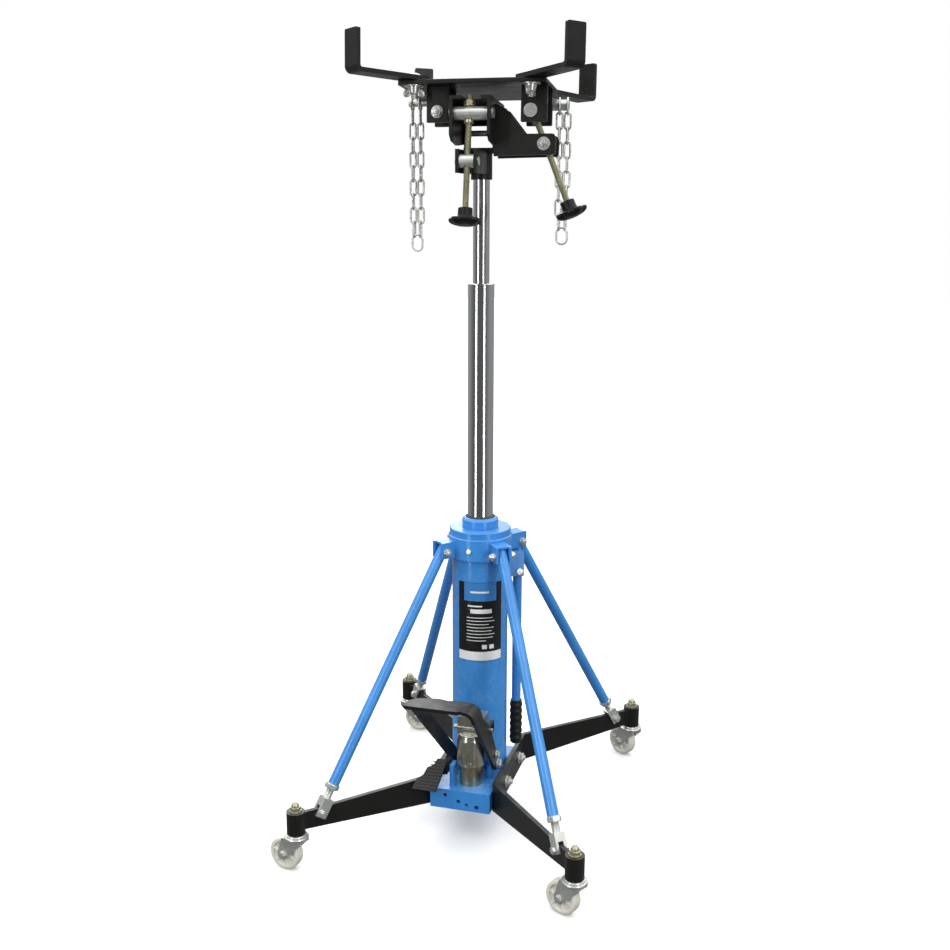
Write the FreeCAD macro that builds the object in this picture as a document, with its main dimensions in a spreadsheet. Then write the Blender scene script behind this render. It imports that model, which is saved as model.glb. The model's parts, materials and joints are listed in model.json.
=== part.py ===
"""Two-stage telescopic transmission jack: foot pump, splayed caster base, tilting saddle.

Frame: origin on the floor under the column axis, +Z up, -Y towards the pump, millimetres.
"""
import FreeCAD, Part
import Sketcher
import math
import os
import re

Vector = FreeCAD.Vector
doc = FreeCAD.newDocument("TransmissionJack")
os.makedirs("parts", exist_ok=True)

SIZES = {
    # base block and side bars
    "block_half_width": 62.6, "block_front": 147, "block_back": 80,
    "block_bottom": 70, "block_top": 112,
    "bar_thickness": 9, "bar_bottom": 68, "bar_top": 128,
    "bar_front_bend": 125, "bar_back_bend": 115, "leg_tip_height": 36,
    # caster sockets and casters
    "socket_across": 274, "socket_along": 337, "socket_radius": 18,
    "socket_bottom": 80, "socket_top": 125, "stem_radius": 6,
    "wheel_radius": 33, "wheel_width": 22, "caster_trail": 24, "fork_plate": 2.5,
    "wheel_clearance": 1.6, "axle_radius": 4,
    # hydraulic column
    "cylinder_radius": 57.15, "cylinder_bore": 51.15, "cylinder_floor": 124,
    "collar_bottom": 571, "collar_radius": 65, "flange_bottom": 615, "flange_top": 629,
    "flange_radius": 62.5, "gland_top": 650, "gland_radius": 37,
    "lower_ram_radius": 25.75, "lower_ram_bore": 17.5, "lower_ram_bottom": 585,
    "lower_ram_top": 1118, "lower_piston_height": 24,
    "upper_ram_radius": 16, "upper_ram_bottom": 800, "upper_ram_top": 1345,
    "running_gap": 0.05,
    # struts
    "strut_radius": 11, "strut_top_out": 62, "strut_top_level": 588,
    "strut_foot_across": 238,
    "strut_foot_level": 110, "strut_fork_length": 38, "strut_fork_half": 11, "strut_pin_radius": 5,
    # foot pump
    "pump_across": 10, "pump_along": 100, "barrel_radius": 25, "barrel_top": 190,
    "sleeve_radius": 28.5, "sleeve_bottom": 155, "sleeve_top": 222, "pump_head_top": 260,
    "pump_head_half": 27, "head_pin_level": 236, "head_pin_radius": 5,
    "pedal_pivot_along": 62, "pedal_pivot_level": 141, "pedal_half_gap": 38,
    "pedal_plate": 7, "pedal_arm_half": 14, "foot_level": 318, "foot_front": 228, "foot_back": 180,
    "release_across": 31, "release_along": 120, "release_level": 152,
    # handle
    "handle_across": 70, "handle_along": 37, "handle_level": 532, "handle_radius": 9.5,
    "handle_bottom": 240, "grip_bottom": 144, "grip_radius": 13.5,
    # head, drawn square and level
    "head_yaw": 4, "frame_pitch": -3.4,
    "head_bottom": 1313, "head_top": 1371, "head_radius": 20.5,
    "pivot_level": 1398, "pivot_radius": 5.5, "ear_half_gap": 24, "ear_plate": 7,
    "frame_half": 38, "frame_wall": 6, "frame_front": 111, "frame_back": 24,
    "frame_bottom": 1380, "frame_top": 1452,
    "screw_side": -5, "upper_pin_along": 91, "upper_pin_level": 1423, "upper_pin_radius": 12,
    "lower_pin_along": 105, "lower_pin_level": 1344, "lower_pin_radius": 8,
    "clevis_half_gap": 14, "clevis_plate": 6, "clevis_front": 118,
    "screw_radius": 6, "knob_radius": 31,
    "knob_centre_drop": 104,
    # roll linkage
    "roll_pivot_side": 69, "roll_level": 1429, "lug_front": 74, "lug_back": 12, "lug_plate": 8,
    "roll_pin_side": 105, "roll_pin_radius": 12.5, "gusset_front": 64, "gusset_back": 14,
    "gusset_plate": 8, "nut_side": 129, "nut_level": 1371, "roll_screw_along": 39,
    # saddle
    "saddle_half_width": 137, "saddle_half_depth": 112, "saddle_bottom": 1473,
    "saddle_plate_thickness": 8, "arm_bolt_across": 108, "arm_bolt_along": 94,
    "arm_width": 38, "arm_plate": 8, "arm_reach": 138, "arm_height": 74,
    "peg_right_level": 1451, "peg_left_level": 1460, "peg_along": 30,
    "chain_wire": 2, "chain_pitch": 27, "chain_half_width": 5.6, "chain_loop_straight": 4.6,
}

sheet = doc.addObject("Spreadsheet::Sheet", "Sizes")
for row, (alias, number) in enumerate(SIZES.items(), start=1):
    sheet.set("A%d" % row, alias)
    sheet.set("B%d" % row, str(number))
    sheet.setAlias("B%d" % row, alias)
doc.recompute()

ALIAS = re.compile(r"\b(%s)\b" % "|".join(sorted(SIZES, key=len, reverse=True)))
X_AXIS, Y_AXIS, Z_AXIS = Vector(1, 0, 0), Vector(0, 1, 0), Vector(0, 0, 1)
TURNS = {
    "Z": FreeCAD.Rotation(),
    "X": FreeCAD.Rotation(Z_AXIS, X_AXIS),
    "Y": FreeCAD.Rotation(Z_AXIS, Y_AXIS),
}


def formula(term):
    """Expression text with every sheet word pointed at the sheet."""
    return ALIAS.sub(r"Sizes.\1", str(term))


def size(term):
    """Number that an expression on the sheet comes to."""
    return float(sheet.evalExpression(formula(term)))


def bind(item, **links):
    for name, term in links.items():
        item.setExpression(name.replace("_at_", "."), formula(term))
    return item


def put(item, at, turn=None):
    """Position a solid from three expressions, with an optional rotation."""
    item.Placement = FreeCAD.Placement(Vector(*[size(a) for a in at]), turn or FreeCAD.Rotation())
    for letter, term in zip("xyz", at):
        if isinstance(term, str):
            item.setExpression("Placement.Base." + letter, formula(term))
    return item


def rod(name, radius, length, at, axis="Z", turn=None):
    item = doc.addObject("Part::Cylinder", name)
    bind(item, Radius=radius, Height=length)
    return put(item, at, turn or TURNS[axis])


def bar(name, lengths, corner, turn=None):
    item = doc.addObject("Part::Box", name)
    bind(item, Length=lengths[0], Width=lengths[1], Height=lengths[2])
    return put(item, corner, turn)


def taper(name, low, high, height, at, turn=None):
    item = doc.addObject("Part::Cone", name)
    bind(item, Radius1=low, Radius2=high, Height=height)
    return put(item, at, turn)


def ball(name, radius, at):
    item = doc.addObject("Part::Sphere", name)
    bind(item, Radius=radius)
    return put(item, at)


def hexagon(name, across, height, at, axis="Z", turn=None):
    """Six-sided nut or bolt head; across is the distance between flats."""
    item = doc.addObject("Part::Prism", name)
    item.Polygon = 6
    bind(item, Circumradius="(%s) / sqrt(3)" % across, Height=height)
    return put(item, at, turn or TURNS[axis])


def join(name, parts):
    item = doc.addObject("Part::MultiFuse", name)
    item.Shapes = parts
    return item


def trim(name, base, tools):
    item = doc.addObject("Part::Cut", name)
    item.Base = base
    item.Tool = tools[0] if len(tools) == 1 else join(name + "Tools", tools)
    return item


def group(name, parts, placement=None):
    """Separate solids kept together as one piece."""
    item = doc.addObject("Part::Compound", name)
    item.Links = parts
    if placement:
        item.Placement = placement
    return item


def outline(body, plane_role, points):
    """Closed polygon whose corners are bound to expressions."""
    sketch = body.newObject("Sketcher::SketchObject", body.Name + "Profile")
    plane = [f for f in body.Origin.OriginFeatures if f.Role == plane_role][0]
    sketch.AttachmentSupport = [(plane, "")]
    sketch.MapMode = "FlatFace"
    corners = [Vector(size(px), size(py), 0) for px, py in points]
    count = len(corners)
    for index in range(count):
        sketch.addGeometry(Part.LineSegment(corners[index], corners[(index + 1) % count]), False)
    for index in range(count):
        sketch.addConstraint(Sketcher.Constraint("Coincident", index, 2, (index + 1) % count, 1))
    for index, (px, py) in enumerate(points):
        for kind, term, number in (("DistanceX", px, corners[index].x), ("DistanceY", py, corners[index].y)):
            place = sketch.addConstraint(Sketcher.Constraint(kind, -1, 1, index, 1, number))
            sketch.setExpression("Constraints[%d]" % place, formula(term))
    return sketch


def sheet_plate(name, plane_role, points, thickness, at=(0, 0, 0), turn=None, rounds=()):
    """Flat plate padded from a polygon; rounds = (radius, corner test) pairs for its edges."""
    body = doc.addObject("PartDesign::Body", name)
    sketch = outline(body, plane_role, points)
    pad = body.newObject("PartDesign::Pad", name + "Pad")
    pad.Profile = sketch
    bind(pad, Length=thickness)
    doc.recompute()
    last = pad
    for number, (radius, test) in enumerate(rounds):
        edges = ["Edge%d" % (k + 1) for k, e in enumerate(last.Shape.Edges)
                 if test(e.CenterOfMass, e.tangentAt(e.FirstParameter))]
        fillet = body.newObject("PartDesign::Fillet", "%sRound%d" % (name, number))
        fillet.Base = (last, edges)
        bind(fillet, Radius=radius)
        doc.recompute()
        last = fillet
    return put(body, at, turn)


def centre_plate(item, low_face=None):
    """Slide a plate drawn on the XZ plane along Y: centred, or with its low face at a given Y."""
    doc.recompute()
    box = item.Shape.BoundBox
    wanted = low_face if low_face is not None else -box.YLength / 2
    item.Placement = FreeCAD.Placement(Vector(0, wanted - box.YMin, 0), FreeCAD.Rotation())


def turned(name, profile, at=(0, 0, 0), turn=None):
    """Lathe-turned piece: (radius, level) corners swept round the vertical axis."""
    body = doc.addObject("PartDesign::Body", name)
    sketch = outline(body, "XZ_Plane", profile)
    spin = body.newObject("PartDesign::Revolution", name + "Turn")
    spin.Profile = sketch
    spin.ReferenceAxis = (sketch, ["V_Axis"])
    spin.Angle = 360
    doc.recompute()
    return put(body, at, turn)


nodes = []


def keep(item, label):
    item.Label = label
    nodes.append(item)
    return item


def upright_turn(direction, flat):
    """Rotation with local Z along direction and local X as near to flat as it can be."""
    lift = Vector(direction).normalize()
    side = Vector(flat)
    side = side.sub(Vector(lift).multiply(side.dot(lift))).normalize()
    return FreeCAD.Rotation(side, lift.cross(side), lift, "ZXY")


# ---------------------------------------------------------------- group placements
def head_placement():
    return FreeCAD.Placement(Vector(), FreeCAD.Rotation(Z_AXIS, size("head_yaw")))


def frame_placement():
    pivot = Vector(0, 0, size("pivot_level"))
    tip = FreeCAD.Placement(Vector(), FreeCAD.Rotation(X_AXIS, size("frame_pitch")), pivot)
    return head_placement().multiply(tip)


def frame_point(across, along_y, level):
    """Where a point drawn on the level tilt frame stands, still square to the head."""
    pivot = Vector(0, 0, size("pivot_level"))
    tip = FreeCAD.Placement(Vector(), FreeCAD.Rotation(X_AXIS, size("frame_pitch")), pivot)
    return tip.multVec(Vector(across, along_y, level))


# ---------------------------------------------------------------- base
CORNERS = {"front_left": (-1, -1, 169), "front_right": (1, -1, 156),
           "back_right": (1, 1, 147), "back_left": (-1, 1, 1)}


def base_block():
    body = bar("BlockStock", ("2 * block_half_width", "block_front + block_back", "block_top - block_bottom"),
               ("-block_half_width", "-block_front", "block_bottom"))
    ports = []
    for number, (side, level, radius) in enumerate(((-31, 29, 4.2), (-3, 18, 4.4), (14, 13, 3.2), (35, 10, 4.8))):
        ports.append(rod("Port%d" % number, radius, 22,
                         (side, "-block_front - 1", "block_bottom + %s" % level), "Y"))
    keep(trim("BaseBlock", body, ports), "base_block")


def leg_bar(side, label):
    """One flat bar: straight along the block, then bent out to both caster sockets."""
    name = "Bar" + ("Right" if side > 0 else "Left")
    parts = [bar(name + "Middle", ("bar_thickness", "bar_front_bend + bar_back_bend", "bar_top - bar_bottom"),
                 ("block_half_width" if side > 0 else "-block_half_width - bar_thickness",
                  "-bar_front_bend", "bar_bottom"))]
    holes = []
    for end in (-1, 1):
        start, finish = leg_line(side, end)
        run = finish.sub(start)
        reach = run.Length - size("socket_radius") + 4
        turn = upright_turn(Z_AXIS, run)
        leg = sheet_plate("%sLeg%s" % (name, "Front" if end < 0 else "Back"), "XZ_Plane",
                          ((0, "bar_bottom"), (reach, "socket_bottom + 4"),
                           (reach, "socket_bottom + 4 + leg_tip_height"), (reach * 0.93, "socket_bottom + 4 + leg_tip_height"),
                           (0, "bar_top")), "bar_thickness")
        centre_plate(leg)
        leg.Placement = FreeCAD.Placement(start, turn).multiply(leg.Placement)
        parts.append(leg)
        parts.append(rod("%sBend%s" % (name, "Front" if end < 0 else "Back"), "bar_thickness / 2",
                         "bar_top - bar_bottom", (start.x, start.y, "bar_bottom")))
        foot = strut_line(side, end)[1]
        across = Vector(-run.y, run.x, 0).normalize()
        holes.append(rod("%sFootHole%s" % (name, "Front" if end < 0 else "Back"), "strut_pin_radius + 0.02", 40,
                         tuple(foot.sub(Vector(across).multiply(20))), turn=FreeCAD.Rotation(Z_AXIS, across)))
        holes.append(rod("%sCope%s" % (name, "Front" if end < 0 else "Back"), "socket_radius", 100,
                         (finish.x, finish.y, "socket_bottom - 20")))
    keep(trim(name, join(name + "Stock", parts), holes), label)


def sockets():
    barrels = []
    nuts = []
    for corner, (sx, sy, trail) in CORNERS.items():
        at = ("%d * socket_across" % sx, "%d * socket_along" % sy)
        barrels.append(rod("Barrel_" + corner, "socket_radius", "socket_top - socket_bottom", at + ("socket_bottom",)))
        washer = rod("CapWasher_" + corner, 12, 2.5, at + ("socket_top",))
        nut = hexagon("CapHex_" + corner, 19, 8, at + ("socket_top + 2.5",))
        dome = ball("CapDome_" + corner, 8, at + ("socket_top + 10.5",))
        nuts.append(join("Cap_" + corner, [washer, nut, dome]))
    keep(group("CasterSockets", barrels), "caster_sockets")
    keep(group("SocketCapNuts", nuts), "socket_cap_nuts")


def leg_bolts():
    bolts = []
    for side in (-1, 1):
        for number, place in enumerate((-50, 62)):
            face = "%d * (block_half_width + bar_thickness)" % side
            turn = FreeCAD.Rotation(Z_AXIS, Vector(side, 0, 0))
            name = "LegBolt%s%d" % ("R" if side > 0 else "L", number)
            washer = rod(name + "Washer", 12.5, 2.5, (face, place, 97), turn=turn)
            head = hexagon(name + "Head", 18, 8, ("%s + %d * 2.5" % (face, side), place, 97), turn=turn)
            stub = rod(name + "End", 5.5, 4, ("%s + %d * 10.5" % (face, side), place, 97), turn=turn)
            bolts.append(join(name, [washer, head, stub]))
    keep(group("LegBolts", bolts), "leg_bolts")


def caster(corner, sx, sy, trail):
    """Pressed swivel fork with its race rings and axle, and the nylon wheel."""
    angle = math.radians(trail)
    centre = Vector(sx * size("socket_across"), sy * size("socket_along"), 0)
    axle = centre.add(Vector(math.cos(angle), math.sin(angle), 0).multiply(size("caster_trail")))
    turn = FreeCAD.Rotation(Z_AXIS, trail)
    place = FreeCAD.Placement(centre, turn)
    tag = corner.title().replace("_", "")
    inner = "wheel_width / 2 + wheel_clearance"
    rings = [rod(tag + "RaceLow", 17, 6, (0, 0, 67.5)), rod(tag + "RaceHigh", 21, 4.5, (0, 0, 73))]
    rings.append(rod(tag + "Stem", 7, 3, (0, 0, 76.8)))
    crown = bar(tag + "Crown", (44, "2 * (%s + fork_plate)" % inner, 3), (-19, "-(%s + fork_plate)" % inner, 67))
    cheeks = []
    for side in (-1, 1):
        level = "-(%s + fork_plate)" % inner if side < 0 else inner
        cheek = sheet_plate("%sCheek%s" % (tag, "A" if side < 0 else "B"), "XZ_Plane",
                            ((-19, 70), (25, 70), ("caster_trail + 11", "wheel_radius + 2"),
                             ("caster_trail + 5", "wheel_radius - 10"), ("caster_trail - 5", "wheel_radius - 10"),
                             ("caster_trail - 12", "wheel_radius - 2"), (-19, 62)), "fork_plate")
        centre_plate(cheek, size(level))
        cheeks.append(cheek)
    pin = rod(tag + "Axle", "axle_radius", "2 * (%s + fork_plate + 5)" % inner,
              ("caster_trail", "-(%s + fork_plate + 5)" % inner, "wheel_radius"), "Y")
    nut = hexagon(tag + "AxleNut", 13, 4.5, ("caster_trail", "-(%s + fork_plate + 4.5)" % inner, "wheel_radius"), "Y")
    head = hexagon(tag + "AxleHead", 13, 4.5, ("caster_trail", "%s + fork_plate" % inner, "wheel_radius"), "Y")
    fork = join(tag + "ForkSolid", rings + [crown] + cheeks + [pin, nut, head])
    keep(group(tag + "Fork", [fork], place), "caster_fork_" + corner)

    edge = "wheel_radius - 3"
    half = "wheel_width / 2"
    hole = "axle_radius + running_gap"
    wheel = turned(tag + "WheelSolid",
                   ((hole, "-(%s)" % half), (12, "-(%s)" % half), (13, "-(%s) + 3" % half), (24, "-(%s) + 3" % half),
                    (26, "-(%s)" % half), (edge, "-(%s)" % half), ("wheel_radius", "-(%s) + 3" % half),
                    ("wheel_radius", "%s - 3" % half), (edge, half), (26, half), (24, "%s - 3" % half),
                    (13, "%s - 3" % half), (12, half), (hole, half)),
                   ("caster_trail", 0, "wheel_radius"), TURNS["Y"])
    keep(group(tag + "Wheel", [wheel], place), "caster_wheel_" + corner)


# ---------------------------------------------------------------- column
def column():
    keep(turned("OuterCylinder", (("cylinder_bore", "cylinder_floor"), ("cylinder_bore", "flange_bottom - 2"),
                                  ("cylinder_radius", "flange_bottom - 2"), ("cylinder_radius", "block_top"),
                                  (0, "block_top"), (0, "cylinder_floor"))), "outer_cylinder")
    band = turned("CollarBand", (("cylinder_radius", "collar_bottom"), ("collar_radius", "collar_bottom"),
                                 ("collar_radius", "flange_bottom - 2"), ("flange_radius", "flange_bottom"),
                                 ("flange_radius", "flange_top - 1.5"), ("flange_radius - 1.5", "flange_top"),
                                 ("gland_radius - 6", "flange_top"), ("gland_radius - 6", "flange_bottom - 2"),
                                 ("cylinder_radius", "flange_bottom - 2")))
    lugs = [clevis_lug(corner, sx, sy) for corner, (sx, sy, trail) in CORNERS.items()]
    lugs.append(handle_lug())
    inside = rod("LugClearance", "cylinder_radius + 0.5", "flange_bottom - 2 - 500", (0, 0, 500))
    holes = []
    for corner, (sx, sy, trail) in CORNERS.items():
        axis = strut_bolt_axis(sx, sy)
        start = strut_line(sx, sy)[0].sub(Vector(axis).multiply(30))
        holes.append(rod("StrutBoltHole_" + corner, 4.02, 60, tuple(start), turn=FreeCAD.Rotation(Z_AXIS, axis)))
    handle_at, handle_axis = handle_pin_line()
    start = handle_at.sub(Vector(handle_axis).multiply(30))
    holes.append(rod("HandlePinHole", 4.02, 60, tuple(start), turn=FreeCAD.Rotation(Z_AXIS, handle_axis)))
    plug_turn = FreeCAD.Rotation(Z_AXIS, Vector(-5, -64, 0))
    plug_at = (-4.8, -60, 592)
    holes.append(rod("PlugHole", 5.02, 14, plug_at, turn=plug_turn))
    collar = join("CollarStock", [band, trim("CollarLugs", join("CollarLugStock", lugs), [inside])])
    keep(trim("StrutCollar", collar, holes), "strut_collar")
    bolts = [strut_bolt(corner, sx, sy) for corner, (sx, sy, trail) in CORNERS.items()]
    plug = rod("PlugSolid", 5, 10, plug_at, turn=plug_turn)
    keep(group("CollarBolts", bolts + [plug]), "collar_bolts")
    ram_hole = "lower_ram_radius + running_gap"
    keep(turned("GlandNut", ((ram_hole, "flange_bottom - 2"), ("gland_radius - 6", "flange_bottom - 2"),
                             ("gland_radius - 6", "flange_top"), ("gland_radius", "flange_top"),
                             ("gland_radius", "gland_top - 5"), ("gland_radius - 5", "gland_top"),
                             ("lower_ram_radius + 4", "gland_top"), ("lower_ram_radius + 4", "gland_top - 6"),
                             (ram_hole, "gland_top - 6"))), "gland_nut")
    keep(turned("WiperRing", (("lower_ram_radius + 0.3", "gland_top - 6"), ("lower_ram_radius + 4", "gland_top - 6"),
                              ("lower_ram_radius + 4", "gland_top + 0.5"), ("lower_ram_radius + 1.4", "gland_top + 3"),
                              ("lower_ram_radius + 0.3", "gland_top + 3"))), "wiper_ring")


def strut_line(sx, sy):
    top = Vector(sx * size("strut_top_out"), sy * size("strut_top_out"), size("strut_top_level"))
    start, finish = leg_line(sx, sy)
    share = (size("strut_foot_across") - abs(start.x)) / (abs(finish.x) - abs(start.x))
    foot = start.add(finish.sub(start).multiply(share))
    return top, Vector(foot.x, foot.y, size("strut_foot_level"))


def leg_line(sx, sy):
    """Centre line of a leg in plan, from its bend to its caster socket."""
    bend = size("bar_front_bend") if sy < 0 else size("bar_back_bend")
    start = Vector(sx * size("block_half_width + bar_thickness / 2"), sy * bend, 0)
    return start, Vector(sx * size("socket_across"), sy * size("socket_along"), 0)


def strut_bolt_axis(sx, sy):
    top, foot = strut_line(sx, sy)
    plan = Vector(foot.x - top.x, foot.y - top.y, 0).normalize()
    return Vector(-plan.y, plan.x, 0)


def clevis_lug(corner, sx, sy):
    """Pair of plates standing off the collar, square to the strut they hold."""
    top, foot = strut_line(sx, sy)
    plan = Vector(foot.x - top.x, foot.y - top.y, 0).normalize()
    turn = upright_turn(Z_AXIS, plan)
    plates = []
    for side in (-1, 1):
        shift = turn.multVec(Vector(-36, side * 14 - 2.5, 0))
        start = top.add(shift)
        plates.append(bar("Lug_%s_%s" % (corner, "ab"[side > 0]), (48, 5, 33),
                          (start.x, start.y, "strut_top_level - 13"), turn))
    start = top.add(turn.multVec(Vector(-36, -16.5, 0)))
    plates.append(bar("LugCover_" + corner, (44, 33, 4), (start.x, start.y, "strut_top_level + 16"), turn))
    return join("Lug_" + corner, plates)


def handle_pin_line():
    """Middle of the handle's hinge pin and the direction it runs in."""
    middle = Vector(size("handle_across"), size("handle_along"), size("handle_level"))
    return middle, Vector(-middle.y, middle.x, 0).normalize()


def handle_lug():
    out = Vector(size("handle_across"), size("handle_along"), 0).normalize()
    turn = upright_turn(Z_AXIS, out)
    plates = []
    for side in (-1, 1):
        start = Vector(size("handle_across"), size("handle_along"), 0).add(turn.multVec(Vector(-26, side * 13 - 2.5, 0)))
        plates.append(bar("HandleLug_" + "ab"[side > 0], (36, 5, 54), (start.x, start.y, "handle_level - 11"), turn))
    return join("HandleLug", plates)


def strut_bolt(corner, sx, sy):
    top, foot = strut_line(sx, sy)
    axis = strut_bolt_axis(sx, sy)
    turn = FreeCAD.Rotation(Z_AXIS, axis)
    start = top.sub(Vector(axis).multiply(17))
    parts = []
    for side in (-1, 1):
        face = top.add(Vector(axis).multiply(side * 16.5))
        outward = FreeCAD.Rotation(Z_AXIS, Vector(axis).multiply(side))
        parts.append(hexagon("StrutBoltHex_%s_%s" % (corner, "ab"[side > 0]), 13, 6, (face.x, face.y, face.z), turn=outward))
        dome = face.add(Vector(axis).multiply(side * 6))
        parts.append(ball("StrutBoltDome_%s_%s" % (corner, "ab"[side > 0]), 5, (dome.x, dome.y, dome.z)))
    shank = rod("StrutBoltShank_" + corner, 4, 34, (start.x, start.y, start.z), turn=turn)
    return join("StrutBolt_" + corner, parts + [shank])


def struts():
    tubes = []
    ends = []
    pins = []
    fork_length = size("strut_fork_length")
    for corner, (sx, sy, trail) in CORNERS.items():
        top, foot = strut_line(sx, sy)
        axis = strut_bolt_axis(sx, sy)
        rise = top.sub(foot).normalize()
        start, finish = leg_line(sx, sy)
        across_leg = Vector(start.y - finish.y, finish.x - start.x, 0).normalize()
        if across_leg.dot(axis) < 0:
            across_leg = across_leg.multiply(-1)
        turn = upright_turn(rise, across_leg)
        low = foot.add(Vector(rise).multiply(fork_length + 21))
        high = top.add(Vector(rise).multiply(10))
        tube = rod("Tube_" + corner, "strut_radius", high.sub(low).Length, (low.x, low.y, low.z), turn=turn)
        hole = rod("TubeHole_" + corner, 4.02, 40, tuple(top.sub(Vector(axis).multiply(20))),
                   turn=FreeCAD.Rotation(Z_AXIS, axis))
        tubes.append(trim("StrutTube_" + corner, tube, [hole]))
        nut_at = foot.add(Vector(rise).multiply(fork_length + 11))
        rod_at = foot.add(Vector(rise).multiply(fork_length - 14))
        nut = hexagon("LockNut_" + corner, 24, 10, tuple(nut_at), turn=turn)
        thread = rod("StrutRod_" + corner, 7, 35, tuple(rod_at), turn=turn)
        fork_at = foot.add(turn.multVec(Vector(-size("strut_fork_half"), -size("strut_fork_half"), -9)))
        fork = bar("ForkStock_" + corner, ("2 * strut_fork_half", "2 * strut_fork_half", "strut_fork_length"),
                   tuple(fork_at), turn)
        leg_turn = upright_turn(Z_AXIS, finish.sub(start))
        slot_at = foot.add(leg_turn.multVec(Vector(-40, -5.4, -30)))
        slot = bar("ForkSlot_" + corner, (80, 10.8, 46), tuple(slot_at), leg_turn)
        pin_at = foot.sub(Vector(across_leg).multiply(18))
        pin_turn = FreeCAD.Rotation(Z_AXIS, across_leg)
        bore = rod("ForkBore_" + corner, "strut_pin_radius + 0.02", 36, tuple(pin_at), turn=pin_turn)
        ends.append(trim("StrutEnd_" + corner, join("StrutEndStock_" + corner, [nut, thread, fork]), [slot, bore]))
        shank = rod("PinShank_" + corner, "strut_pin_radius", 36, tuple(pin_at), turn=pin_turn)
        head = hexagon("PinHead_" + corner, 13, 5, tuple(foot.add(Vector(across_leg).multiply(11.8))), turn=pin_turn)
        tail = hexagon("PinNut_" + corner, 13, 5, tuple(foot.sub(Vector(across_leg).multiply(16.8))), turn=pin_turn)
        pins.append(join("StrutPin_" + corner, [shank, head, tail]))
    keep(group("StrutTubes", tubes), "strut_tubes")
    keep(group("StrutEnds", ends), "strut_ends")
    keep(group("StrutPins", pins), "strut_pins")


def label_panel():
    """Thin curved panel wrapped round the front of the cylinder."""
    panel = doc.addObject("Part::Cylinder", "PanelOuter")
    bind(panel, Radius="cylinder_radius + 0.6", Height=167)
    panel.Angle = 96
    put(panel, (0, 0, 358), FreeCAD.Rotation(Z_AXIS, -74 - 48))
    core = rod("PanelCore", "cylinder_radius", 180, (0, 0, 350))
    keep(trim("LabelPanel", panel, [core]), "label_panel")


# ---------------------------------------------------------------- rams
def rams():
    upper_hole = "upper_ram_radius + running_gap"
    keep(turned("LowerRam", (("lower_ram_bore", "lower_ram_bottom + 15"), ("lower_ram_bore", "lower_ram_top - 40"),
                             (upper_hole, "lower_ram_top - 40"), (upper_hole, "lower_ram_top"),
                             ("lower_ram_radius - 1.5", "lower_ram_top"), ("lower_ram_radius", "lower_ram_top - 1.5"),
                             ("lower_ram_radius", "lower_ram_bottom + lower_piston_height"),
                             ("cylinder_bore - running_gap", "lower_ram_bottom + lower_piston_height"),
                             ("cylinder_bore - running_gap", "lower_ram_bottom"), (0, "lower_ram_bottom"),
                             (0, "lower_ram_bottom + 15"))), "lower_ram")
    keep(turned("UpperRam", ((0, "upper_ram_bottom"), ("lower_ram_bore - running_gap", "upper_ram_bottom"),
                             ("lower_ram_bore - running_gap", "upper_ram_bottom + 20"),
                             ("upper_ram_radius", "upper_ram_bottom + 20"), ("upper_ram_radius", "upper_ram_top"),
                             (0, "upper_ram_top"))), "upper_ram")


# ---------------------------------------------------------------- head
def head():
    socket = turned("SocketBarrel", (("upper_ram_radius + running_gap", "head_bottom"),
                                     ("head_radius", "head_bottom"), ("head_radius", "head_top"),
                                     (0, "head_top"), (0, "upper_ram_top + 0.5"),
                                     ("upper_ram_radius + running_gap", "upper_ram_top + 0.5")))
    ear_out = "ear_half_gap + ear_plate"
    yoke = bar("YokeBase", ("2 * (%s)" % ear_out, 40, 8), ("-(%s)" % ear_out, -20, "head_top - 8"))
    parts = [socket, yoke]
    for side in (-1, 1):
        tag = "ab"[side > 0]
        start = "ear_half_gap" if side > 0 else "-(%s)" % ear_out
        parts.append(bar("Ear_" + tag, ("ear_plate", 32, "pivot_level - head_top + 8"), (start, -16, "head_top - 8")))
        parts.append(rod("EarTop_" + tag, 16, "ear_plate", (start, 0, "pivot_level"), "X"))
        plate = "screw_side + clevis_half_gap" if side > 0 else "screw_side - clevis_half_gap - clevis_plate"
        parts.append(bar("Clevis_" + tag, ("clevis_plate", "clevis_front - 12", 42),
                         (plate, "-clevis_front", "lower_pin_level - 21")))
    bores = [rod("EarBore", "pivot_radius", 100, (-50, 0, "pivot_level"), "X"),
             rod("ClevisBore", "lower_pin_radius", 60, ("screw_side - 30", "-lower_pin_along", "lower_pin_level"), "X"),
             rod("RamBore", "upper_ram_radius + running_gap", "upper_ram_top + 0.5 - head_bottom",
                 (0, 0, "head_bottom"))]
    solid = trim("HeadSolid", join("HeadStock", parts), bores)
    keep(group("HeadSocket", [solid], head_placement()), "head_socket")
    pin = rod("PivotShank", "pivot_radius", "2 * frame_half + 8", ("-frame_half - 4", 0, "pivot_level"), "X")
    cap_a = rod("PivotCapA", 9, 3.5, ("-frame_half - 4.5", 0, "pivot_level"), "X")
    cap_b = rod("PivotCapB", 9, 3.5, ("frame_half + 1", 0, "pivot_level"), "X")
    keep(group("PivotPin", [join("PivotPinSolid", [pin, cap_a, cap_b])], head_placement()), "pivot_pin")


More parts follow.
